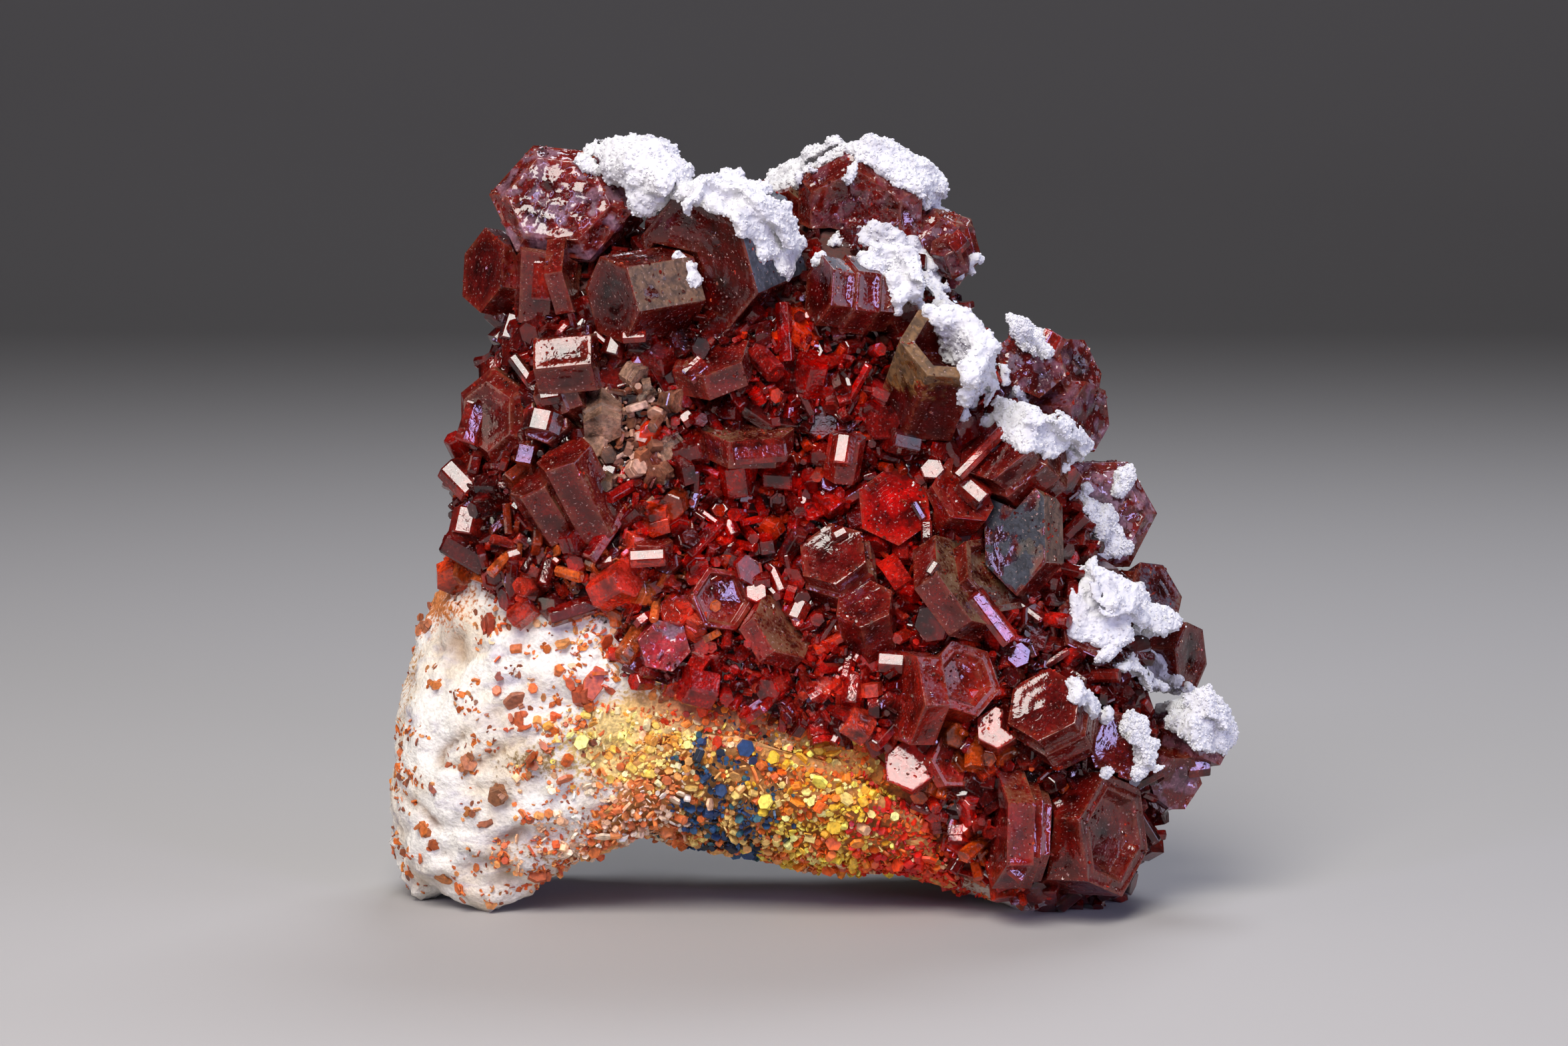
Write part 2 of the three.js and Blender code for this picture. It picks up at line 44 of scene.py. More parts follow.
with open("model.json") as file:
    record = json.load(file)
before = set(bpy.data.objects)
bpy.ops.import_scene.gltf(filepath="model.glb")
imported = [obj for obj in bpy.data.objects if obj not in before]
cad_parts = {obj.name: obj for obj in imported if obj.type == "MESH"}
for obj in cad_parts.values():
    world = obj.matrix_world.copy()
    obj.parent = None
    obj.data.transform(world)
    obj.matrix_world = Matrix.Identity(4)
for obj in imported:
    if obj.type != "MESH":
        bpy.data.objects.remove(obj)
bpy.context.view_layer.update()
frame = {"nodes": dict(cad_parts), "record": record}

MM = 0.001
BODY = "root"
TINT = "tint"  # colour of each small face, with its dustiness in alpha
RIM = "rim"  # 1 on a crystal's edges, falling to 0 inside its faces; it carries the painted glow of the thin edges
STAIN = "stain"  # colour of the stains on the rock, with their strength in alpha
HOLLOW = "hollow"  # 1 in the cracks and pits of the rock
MERGE_GAP = 0.002  # mm
IN_FRONT = -60.0  # mm, y of a place well in front of the specimen
Colour = tuple[float, float, float, float]  # linear red, green and blue, and alpha
Rng = np.random.Generator
NOISE_SEED = 7  # vector noise is different in every run without one


# ---------------------------------------------------------------- colour and nodes


def linear(code: str, alpha: float = 1.0) -> Colour:
    """Turn an sRGB hex colour into linear values.

    Args:
        code: six hex digits after a hash sign.
        alpha: fourth value of the result.

    Returns:
        Linear red, green and blue, and alpha.
    """
    parts = [int(code[i : i + 2], 16) / 255 for i in (1, 3, 5)]
    red, green, blue = [p / 12.92 if p <= 0.04045 else ((p + 0.055) / 1.055) ** 2.4 for p in parts]
    return red, green, blue, alpha


def add_node(
    tree: bpy.types.NodeTree, kind: str, inputs: dict[str | int, object] | None = None, **settings: object
) -> bpy.types.Node:
    """Add a node with its settings, values and links.

    Args:
        tree: the material's node tree.
        kind: the node's type, without the ShaderNode that every type starts with.
        inputs: for each input by name or number, a value, a socket to link from, or a node whose first
            output is linked.
        settings: the node's own properties.

    Returns:
        The new node.
    """
    made = tree.nodes.new("ShaderNode" + kind)
    for name, value in settings.items():
        setattr(made, name, value)
    for key, value in (inputs or {}).items():
        source = value.outputs[0] if isinstance(value, bpy.types.Node) else value
        if isinstance(source, bpy.types.NodeSocket):
            tree.links.new(source, made.inputs[key])
        else:
            made.inputs[key].default_value = source
    return made


def new_material(name: str) -> tuple[bpy.types.Material, Callable[..., bpy.types.Node], bpy.types.Node]:
    """Start a material whose patterns are laid out in millimetres.

    Args:
        name: the material's name.

    Returns:
        The material, add_node for its own tree and a node with the place on the object in millimetres.
    """
    material = bpy.data.materials.new(name)
    material.use_nodes = True
    material.node_tree.nodes.clear()
    add = partial(add_node, material.node_tree)
    place = add("TexCoord").outputs["Object"]
    return material, add, add("VectorMath", {0: place, "Scale": 1 / MM}, operation="SCALE")


# ---------------------------------------------------------------- finishes


@dataclass(frozen=True)
class Vanadinite:
    """Vanadinite, a lead vanadate that grows as glossy six-sided crystals.

    Its fresh faces mirror the lights and are dark between them. Light that gets in comes out deep red.
    A painted glow, a brighter red on the thin edges, stands in for light shining through them.
    Fine clay has settled on the faces that look up to the right and makes them matt tan or slate grey. The
    index and the shine are lower than the mineral's own, so that dark faces stay dark over a pale floor.
    """

    name: str
    clear: float  # share of light that passes into the crystal
    grit: float  # fine roughness of the fresh faces
    clay_tan: str = "#80603f"
    clay_slate: str = "#474c58"
    worn_edge: str = "#9a5a40"
    # painted glow: the brighter red that stands in for light shining through the thin edges
    glow: str = "#a8240c"
    speck_and_sparkle: str = "#e0b8b0"
    clay_side: tuple[float, float, float] = (0.62, -0.22, 0.75)  # way the dusty faces look
    index: float = 1.66
    gloss: float = 0.06
    shine: float = 0.36  # 0.5 is a plain dielectric of that index
    matt: float = 0.62
    zone_size: float = 1.7  # mm, cloudy growth zones inside a crystal
    step_size: float = 0.55  # mm, growth steps on the faces
    terraces: float = 1.7  # steps along the edges for each natural-log unit of the rim's fall
    clay_grain: float = 0.22  # mm
    clay_patch: float = 7.0  # mm across the parts where the clay is tan or slate
    speck_size: float = 0.2  # mm, pale specks on every face, partly dust and partly painted sparkle

    def material(self) -> bpy.types.Material:
        """Build the material.

        Returns:
            The material.
        """
        made, add, place = new_material(self.name)
        tint = add("Attribute", attribute_name=TINT)
        rim = add("Attribute", attribute_name=RIM)
        zones = add("TexNoise", {"Vector": place, "Scale": 1 / self.zone_size, "Detail": 3.0})
        steps = add(
            "TexNoise", {"Vector": place, "Scale": 1 / self.step_size, "Detail": 2.0, "Distortion": 0.8}
        )
        grain = add("TexNoise", {"Vector": place, "Scale": 1 / self.clay_grain, "Detail": 1.0})
        deep = add(
            "MapRange", {"Value": zones, "From Min": 0.34, "From Max": 0.68, "To Min": 0.2, "To Max": 1.7}
        )
        # Painted glow: the body is brighter near the edges, as if lit through the thin parts, over the cloudy
        # zones.
        lit = add("Math", {0: rim.outputs["Fac"], 1: 0.4, 2: deep}, operation="MULTIPLY_ADD")
        fine = add(
            "MapRange", {"Value": grain, "From Min": 0.3, "From Max": 0.7, "To Min": 0.65, "To Max": 1.35}
        )
        shade = add("Math", {0: lit, 1: fine}, operation="MULTIPLY")
        body = add("VectorMath", {0: tint.outputs["Color"], "Scale": shade}, operation="SCALE")
        # Painted glow: the thin edges also lean towards the glow colour.
        thin = add("Math", {0: rim.outputs["Fac"], 1: 0.2}, operation="MULTIPLY")
        glowing = add("MixRGB", {"Fac": thin, "Color1": body, "Color2": linear(self.glow)})
        line = add("Math", {0: rim.outputs["Fac"], 1: 2.6}, operation="POWER")
        broken = add("MapRange", {"Value": steps, "From Min": 0.42, "From Max": 0.62, "To Max": 0.5})
        edged = add("Math", {0: line, 1: broken}, operation="MULTIPLY")
        rimmed = add("MixRGB", {"Fac": edged, "Color1": glowing, "Color2": linear(self.worn_edge)})
        normal = add("NewGeometry").outputs["Normal"]
        side = Vector(self.clay_side).normalized()
        facing = add("VectorMath", {0: normal, 1: tuple(side)}, operation="DOT_PRODUCT")
        patchy = add("Math", {0: zones, 1: 0.9, 2: facing.outputs["Value"]}, operation="MULTIPLY_ADD")
        speckled = add("Math", {0: grain, 1: 0.6, 2: patchy}, operation="MULTIPLY_ADD")
        caked = add(
            "MapRange", {"Value": tint.outputs["Alpha"], "From Min": 1.0, "From Max": 2.0, "To Max": 1.8}
        )
        covered = add("Math", {0: speckled, 1: caked}, operation="ADD")
        settled = add(
            "MapRange",
            {"Value": covered, "From Min": 1.44, "From Max": 1.84},
            interpolation_type="SMOOTHSTEP",
        )
        clay = add("Math", {0: settled, 1: tint.outputs["Alpha"]}, operation="MULTIPLY")
        kind = add("TexNoise", {"Vector": place, "Scale": 1 / self.clay_patch, "Detail": 2.0})
        slate = add("MapRange", {"Value": kind, "From Min": 0.5, "From Max": 0.6})
        clay_colour = add(
            "MixRGB", {"Fac": slate, "Color1": linear(self.clay_tan), "Color2": linear(self.clay_slate)}
        )
        own_clay = add("MapRange", {"Value": tint.outputs["Alpha"], "From Min": 1.0, "From Max": 1.02})
        weathered = add(
            "MapRange", {"Value": steps, "From Min": 0.35, "From Max": 0.65, "To Min": 0.45, "To Max": 1.35}
        )
        coat = add("VectorMath", {0: tint.outputs["Color"], "Scale": weathered}, operation="SCALE")
        settled_colour = add("MixRGB", {"Fac": own_clay, "Color1": clay_colour, "Color2": coat})
        colour = add("MixRGB", {"Fac": clay, "Color1": rimmed, "Color2": settled_colour})
        # Pale specks, partly dust and partly painted sparkle.
        dots = add("TexNoise", {"Vector": place, "Scale": 1 / self.speck_size, "Detail": 3.0})
        speck_and_sparkle = add("MapRange", {"Value": dots, "From Min": 0.63, "From Max": 0.72, "To Max": 0.6})
        specked = add("MixRGB", {"Fac": speck_and_sparkle, "Color1": colour, "Color2": linear(self.speck_and_sparkle)})
        worn = add(
            "MapRange",
            {
                "Value": steps,
                "From Min": 0.35,
                "From Max": 0.7,
                "To Min": self.gloss,
                "To Max": self.gloss * 2.2,
            },
        )
        rough = add("MapRange", {"Value": clay, "To Min": worn, "To Max": self.matt})
        shown = add("Math", {0: rim.outputs["Fac"], 1: 0.002}, operation="MAXIMUM")
        inwards = add("Math", {0: shown, 1: math.e}, operation="LOGARITHM")
        wavy = add("Math", {0: inwards, 1: self.terraces, 2: steps}, operation="MULTIPLY_ADD")
        terrace = add("Math", {0: wavy}, operation="FRACT")
        terraced = add("Bump", {"Height": terrace, "Strength": 0.35, "Distance": 0.03 * MM})
        relief = add("Bump", {"Height": steps, "Strength": 0.3, "Distance": 0.04 * MM, "Normal": terraced})
        gritty = add("MapRange", {"Value": clay, "To Min": self.grit, "To Max": 0.9})
        dusty = add("Bump", {"Height": grain, "Strength": gritty, "Distance": 0.04 * MM, "Normal": relief})
        shader = add(
            "BsdfPrincipled",
            {
                "Base Color": specked,
                "Roughness": rough,
                "IOR": self.index,
                "Specular IOR Level": self.shine,
                "Transmission Weight": self.clear,
                "Normal": dusty,
            },
        )
        add("OutputMaterial", {"Surface": shader})
        return made


@dataclass(frozen=True)
class Barite:
    """Massive barite, the cream rock that the crystals sit on.

    It is broken and weathered, so it is matt with a fine sugary grain, grey-lavender streaks and tan stains.
    """

    name: str = "barite_weathered"
    cream: str = "#eeebe0"
    warm: str = "#e0cfb2"
    streak: str = "#a8a2b0"
    cavity: str = "#8d6c4c"
    blotch_size: float = 5.0  # mm
    streak_size: float = 1.6  # mm across a streak
    grain_size: float = 0.3  # mm
    rough: float = 0.82

    def material(self) -> bpy.types.Material:
        """Build the material.

        Returns:
            The material.
        """
        made, add, place = new_material(self.name)
        stain = add("Attribute", attribute_name=STAIN)
        hollow = add("Attribute", attribute_name=HOLLOW)
        blotch = add("TexNoise", {"Vector": place, "Scale": 1 / self.blotch_size, "Detail": 4.0})
        grain = add("TexNoise", {"Vector": place, "Scale": 1 / self.grain_size, "Detail": 2.0})
        bedding = add(
            "Mapping", {"Vector": place, "Rotation": (0.0, math.radians(28), 0.0), "Scale": (0.22, 0.6, 1.0)}
        )
        streaks = add(
            "TexNoise", {"Vector": bedding, "Scale": 1 / self.streak_size, "Detail": 4.0, "Distortion": 0.6}
        )
        warm_part = add("MapRange", {"Value": blotch, "From Min": 0.48, "From Max": 0.72})
        base = add("MixRGB", {"Fac": warm_part, "Color1": linear(self.cream), "Color2": linear(self.warm)})
        grey_part = add("MapRange", {"Value": streaks, "From Min": 0.54, "From Max": 0.7, "To Max": 0.7})
        streaked = add("MixRGB", {"Fac": grey_part, "Color1": base, "Color2": linear(self.streak)})
        sparkle = add(
            "MapRange", {"Value": grain, "From Min": 0.35, "From Max": 0.65, "To Min": 0.88, "To Max": 1.08}
        )
        grained = add("VectorMath", {0: streaked, "Scale": sparkle}, operation="SCALE")
        cavities = add(
            "MixRGB", {"Fac": hollow.outputs["Fac"], "Color1": grained, "Color2": linear(self.cavity)}
        )
        speckle = add(
            "MapRange", {"Value": grain, "From Min": 0.3, "From Max": 0.7, "To Min": -0.3, "To Max": 0.3}
        )
        ragged = add("Math", {0: stain.outputs["Alpha"], 1: speckle}, operation="ADD")
        mottle = add(
            "MapRange", {"Value": grain, "From Min": 0.35, "From Max": 0.65, "To Min": 1.15, "To Max": 0.6}
        )
        stain_colour = add("VectorMath", {0: stain.outputs["Color"], "Scale": mottle}, operation="SCALE")
        amount = add("MapRange", {"Value": ragged, "From Min": 0.3, "From Max": 0.62, "To Max": 0.95})
        colour = add("MixRGB", {"Fac": amount, "Color1": cavities, "Color2": stain_colour})
        relief = add("Bump", {"Height": grain, "Strength": 0.8, "Distance": 0.16 * MM})
        shader = add(
            "BsdfPrincipled",
            {"Base Color": colour, "Roughness": self.rough, "Specular IOR Level": 0.15, "Normal": relief},
        )
        add("OutputMaterial", {"Surface": shader})
        return made


@dataclass(frozen=True)
class Grains:
    """Fine earthy grains of iron and manganese oxides and lead minerals: slightly waxy and never clear."""

    name: str = "oxide_grains"
    rough: float = 0.4
    grain_size: float = 0.3  # mm

    def material(self) -> bpy.types.Material:
        """Build the material.

        Returns:
            The material.
        """
        made, add, place = new_material(self.name)
        tint = add("Attribute", attribute_name=TINT)
        fine = add("TexNoise", {"Vector": place, "Scale": 1 / self.grain_size, "Detail": 2.0})
        shade = add(
            "MapRange", {"Value": fine, "From Min": 0.3, "From Max": 0.7, "To Min": 0.6, "To Max": 1.25}
        )
        colour = add("VectorMath", {0: tint.outputs["Color"], "Scale": shade}, operation="SCALE")
        relief = add("Bump", {"Height": fine, "Strength": 0.4, "Distance": 0.06 * MM})
        shader = add("BsdfPrincipled", {"Base Color": colour, "Roughness": self.rough, "Normal": relief})
        add("OutputMaterial", {"Surface": shader})
        return made


@dataclass(frozen=True)
class SugaryCrust:
    """A late crust of fine white crystals, matt like packed snow, with broad patches of painted cool grey
    shade.
    """

    name: str = "white_crust_sugary"
    white: str = "#dadadb"
    shade: str = "#aaa8b0"
    shade_size: float = 1.8  # mm across the patches of painted shade
    grain_size: float = 0.28  # mm
    rough: float = 0.75

    def material(self) -> bpy.types.Material:
        """Build the material.

        Returns:
            The material.
        """
        made, add, place = new_material(self.name)
        broad = add("TexNoise", {"Vector": place, "Scale": 1 / self.shade_size, "Detail": 3.0})
        grain = add("TexVoronoi", {"Vector": place, "Scale": 1 / self.grain_size})
        # Painted shade: broad noise patches take the cool grey shade colour.
        shade_patches = add("MapRange", {"Value": broad, "From Min": 0.52, "From Max": 0.8})
        colour = add("MixRGB", {"Fac": shade_patches, "Color1": linear(self.white), "Color2": linear(self.shade)})
        relief = add("Bump", {"Height": grain.outputs["Distance"], "Strength": 0.5, "Distance": 0.1 * MM})
        shader = add("BsdfPrincipled", {"Base Color": colour, "Roughness": self.rough, "Normal": relief})
        add("OutputMaterial", {"Surface": shader})
        return made


# ---------------------------------------------------------------- meshes


def select_only(*objects: bpy.types.Object) -> None:
    """Select these objects alone, with the first one active.

    Args:
        objects: what to select.
    """
    bpy.ops.object.select_all(action="DESELECT")
    for one in objects:
        one.select_set(True)
    bpy.context.view_layer.objects.active = objects[0]


def new_object(name: str, mesh: bpy.types.Mesh) -> bpy.types.Object:
    """Put a mesh in the scene as an object at the origin.

    Args:
        name: the object's name.
        mesh: its mesh.

    Returns:
        The object.
    """
    made = bpy.data.objects.new(name, mesh)
    bpy.context.scene.collection.objects.link(made)
    return made


def copy_of(node: str, name: str) -> bpy.types.Object:
    """Copy a CAD node into a new object with its loose triangles merged.

    Args:
        node: the CAD node's name.
        name: name for the copy.

    Returns:
        The copy, with a mesh of its own.
    """
    mesh = frame["nodes"][node].data.copy()
    mesh.materials.clear()
    made = new_object(name, mesh)
    select_only(made)
    bpy.ops.object.mode_set(mode="EDIT")
    bpy.ops.mesh.select_all(action="SELECT")
    bpy.ops.mesh.remove_doubles(threshold=MERGE_GAP * MM)
    bpy.ops.mesh.tris_convert_to_quads(face_threshold=0.0, shape_threshold=0.0)
    bpy.ops.object.mode_set(mode="OBJECT")
    return made


def with_modifier(target: bpy.types.Object, kind: str, **settings: object) -> None:
    """Add a modifier with its settings and apply it.

    Args:
        target: the object.
        kind: the modifier's type.
        settings: its own properties.
    """
    select_only(target)
    modifier = target.modifiers.new(kind.lower(), kind)
    for name, value in settings.items():
        setattr(modifier, name, value)
    bpy.ops.object.modifier_apply(modifier=modifier.name)


def places_of(mesh: bpy.types.Mesh) -> np.ndarray:
    """Read a mesh's vertices as rows of x, y and z in millimetres.

    Args:
        mesh: the mesh to read.

    Returns:
        One row for each vertex.
    """
    flat = np.empty(len(mesh.vertices) * 3, np.float64)
    mesh.vertices.foreach_get("co", flat)
    return flat.reshape(-1, 3) / MM


def move_to(mesh: bpy.types.Mesh, places: np.ndarray) -> None:
    """Put a mesh's vertices at these places in millimetres."""
    mesh.vertices.foreach_set("co", (places * MM).ravel().astype(np.float32))
    mesh.update()


def normals_of(mesh: bpy.types.Mesh) -> np.ndarray:
    """Read the normals at a mesh's vertices.

    Args:
        mesh: the mesh to read.

    Returns:
        One row for each vertex.
    """
    flat = np.empty(len(mesh.vertices) * 3, np.float32)
    mesh.vertex_normals.foreach_get("vector", flat)
    return flat.reshape(-1, 3).astype(np.float64)


def paint_points(mesh: bpy.types.Mesh, name: str, colours: np.ndarray) -> None:
    """Give every vertex of a mesh its own colour."""
    layer = mesh.color_attributes.new(name, "FLOAT_COLOR", "POINT")
    layer.data.foreach_set("color", colours.astype(np.float32).ravel())


def surface_tree(mesh_objects: Iterable[bpy.types.Object]) -> BVHTree:
    """Gather objects' faces into one search tree, in millimetres.

    Args:
        mesh_objects: the objects, which all stand at the origin.

    Returns:
        The tree.
    """
    places: list[np.ndarray] = []
    faces: list[list[int]] = []
    start = 0
    for one in mesh_objects:
        own = places_of(one.data)
        faces += [[start + i for i in face.vertices] for face in one.data.polygons]
        places.append(own)
        start += len(own)
    return BVHTree.FromPolygons([tuple(p) for p in np.concatenate(places)], faces)


def inside(tree: BVHTree, place: Vector, margin: float = 0.0) -> bool:
    """Tell whether a place is inside the tree's solids.

    Args:
        tree: faces of closed solids.
        place: the place, in mm.
        margin: mm added round the solids, or taken off them where it is below 0.

    Returns:
        Whether it is inside.
    """
    found, normal, _, distance = tree.find_nearest(place)
    if found is None:
        return False
    return (distance if (place - found).dot(normal) >= 0 else -distance) < margin


def soft_step(low: float, high: float, value: np.ndarray) -> np.ndarray:
    """Rise smoothly from 0 at low to 1 at high."""
    share = np.clip((value - low) / (high - low), 0, 1)
    return share * share * (3 - 2 * share)


def way_to(around: float, height: float) -> np.ndarray:
    """Direction at an angle round from the front and one above level.

    Args:
        around: angle round from the front, to the right, in radians.
        height: angle above level, in radians.

    Returns:
        Direction of one unit.
    """
    return np.array(
        (math.sin(around) * math.cos(height), -math.cos(around) * math.cos(height), math.sin(height))
    )


def foremost(tree: BVHTree, x: float, z: float) -> tuple[Vector | None, Vector | None]:
    """What lies foremost at a place seen from the front, and the normal there, or None twice."""
    return tree.ray_cast(Vector((x, IN_FRONT, z)), Vector((0, 1, 0)))[:2]


def leaning(normal: np.ndarray | float, lean: float, rng: Rng) -> np.ndarray:
    """Direction that leans away from a normal by a random amount."""
    axis = normal + rng.normal(size=3) * lean
    return axis / np.linalg.norm(axis)


def finish_piece(
    piece: bpy.types.Object, material: bpy.types.Material, slot: str, replaced: Sequence[str] = ()
) -> bpy.types.Object:
    """Dress a piece and tie it to the frame.

    Args:
        piece: the finished object.
        material: its material.
        slot: the record's material slot.
        replaced: CAD nodes that the piece stands for.

    Returns:
        The piece.
    """
    piece.data.materials.clear()
    piece.data.materials.append(material)
    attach(piece, BODY)
    if replaced:
        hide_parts(*replaced)
    log.info("%s: %d faces, %s", piece.name, len(piece.data.polygons), slot)
    return piece


# ---------------------------------------------------------------- patches of colour


@dataclass(frozen=True)
class Patch:
    """A patch of colours on the front, an ellipse with a soft edge. Sizes are in millimetres."""

    x: float
    z: float
    wide: float
    high: float
    colours: tuple[str, ...]
    weight: float = 1.0

    def share(self, x: float, z: float) -> float:
        """How strongly the patch shows at a place."""
        return self.weight * math.exp(-(((x - self.x) / self.wide) ** 2) - ((z - self.z) / self.high) ** 2)


@dataclass(frozen=True)
class Palette:
    """Colours of small crystals over the specimen: patches, and plain colours where no patch is strong."""

    patches: tuple[Patch, ...]
    plain: tuple[str, ...]
    plain_weight: float = 0.3
    vary: tuple[float, float] = (0.75, 1.25)
    blotch: float = 1.0  # mm across, where neighbours share a colour
    mixed: float = 0.5  # how far neighbours differ all the same

    PATCH_LAYER = 3.0  # layers of the noise, so that patch and colour are drawn apart
    COLOUR_LAYER = 17.0
    CONTRAST = 6.5  # how sharply the noise parts one blotch from the next

    def pick(self, x: float, z: float, rng: Rng) -> Colour:
        """Draw a colour for a crystal at a place.

        Args:
            x: place along the row, in mm.
            z: height, in mm.
            rng: seeded generator.

        Returns:
            Linear colour with alpha 1.
        """
        shares = np.array([patch.share(x, z) for patch in self.patches] + [self.plain_weight]) ** 2
        lot = self._lot(x, z, self.PATCH_LAYER, rng)
        chosen = int(np.searchsorted(np.cumsum(shares / shares.sum()), lot))
        colours = self.patches[chosen].colours if chosen < len(self.patches) else self.plain
        drawn = int(self._lot(x, z, self.COLOUR_LAYER, rng) * len(colours))
        base = np.array(linear(colours[drawn])[:3])
        varied = base * rng.uniform(*self.vary)
        return tuple(np.clip(varied, 0, 1)) + (1.0,)

    def _lot(self, x: float, z: float, layer: float, rng: Rng) -> float:
        """A lot from 0 to 1 that is nearly the same for neighbours.

        Args:
            x: place along the row, in mm.
            z: height, in mm.
            layer: layer of the noise that it is drawn from.
            rng: seeded generator.

        Returns:
            The lot.
        """
        shared = noise.noise(Vector((x / self.blotch, layer, z / self.blotch))) * self.CONTRAST
        level = shared + rng.normal() * self.mixed * 2
        return min(0.999, 1 / (1 + math.exp(-level)))


# Where fine brown crumbs lie between the red crystals.
CRUMBS = Patch(-13.0, 35.8, 2.4, 4.0, ("#b07458", "#a06048", "#c49474", "#843c2a", "#d8a88a"), 2.4)

RED_PALETTE = Palette(
    (
        # Bright reds here are partly the small crystals' own colour and partly painted light for the light
        # that falls into the recess.
        Patch(1, 33, 12, 10, ("#d00c04", "#e41606", "#b00a04", "#f03408", "#900603"), 1.6),
        Patch(0, 47, 24, 7, ("#640e0a", "#78100a", "#560a08", "#861810")),
        Patch(-22, 35, 7, 10, ("#7a120c", "#90180c", "#a43412", "#680e0a")),
        # The next three patches are partly the crystals' own bright red and partly painted light, lifted
        # against the shade of the large crystals above them.
        Patch(-20, 24.5, 14, 4.0, ("#f0341a", "#f85426", "#d82414", "#f4442a", "#fc7430"), 1.6),
        Patch(0, 20, 13, 6, ("#dc2014", "#ee3018", "#f4482c", "#bc140c"), 1.4),
        Patch(9, 6, 7, 7, ("#f42410", "#fc3c14", "#e0180c", "#fa6018"), 2.2),
        Patch(20, 12, 9, 14, ("#78100a", "#8c160e", "#9c2014", "#640a08")),
        CRUMBS,
    ),
    ("#8c100a", "#9c140c", "#7a0c07"),
    mixed=1.0,
)

STAINED_PALETTE = Palette(
    (
        Patch(
            -6.0, 8.6, 3.6, 4.6,
            ("#22406a", "#2c5880", "#141f2e", "#356068", "#e0a45a", "#d86a28", "#f0c870"),
            2.4,
        ),
        Patch(1.4, 8.4, 4.6, 5.0, ("#fcca3c", "#ffe060", "#f6b430", "#ec8626", "#ffe486", "#e8641c"), 2.3),
        Patch(-12.0, 13.2, 5.0, 2.8, ("#fcdf86", "#f4cc5c", "#fdeab0", "#f0a444"), 2.0),
        Patch(8.4, 7.6, 4.2, 6.0, ("#f04818", "#e83012", "#f47024", "#d82010", "#c81810"), 3.2),
        Patch(-13.0, 8.6, 5.0, 3.0, ("#f2d4b4", "#e8b48c", "#e88a4a", "#f6e6d4", "#d8703a"), 2.0),
        Patch(-6.5, 16.0, 5.5, 1.8, ("#d84a1c", "#e86a24", "#c83416", "#ee8a34"), 2.2),
    ),
    ("#e87a38", "#d86424", "#f0a058", "#c85426", "#f2bc8c"),
    vary=(0.75, 1.35),
    blotch=1.3,
    mixed=0.35,
)


# ---------------------------------------------------------------- small crystals


class Habit(Enum):
    """Shapes that one small crystal can take."""

    TABLET = "tablet"
    PRISM = "prism"
    HOPPER = "hopper"
    STACK = "stack"
    ROD = "rod"
    SPLINTER = "splinter"
    GRAIN = "grain"


@dataclass(frozen=True)
class Shape:
    """A small crystal's mesh, one unit in radius and about its own centre, with its main axis along Z."""

    places: np.ndarray
    faces: tuple[tuple[int, ...], ...]


PRISM_HEIGHT = 1.8  # radii


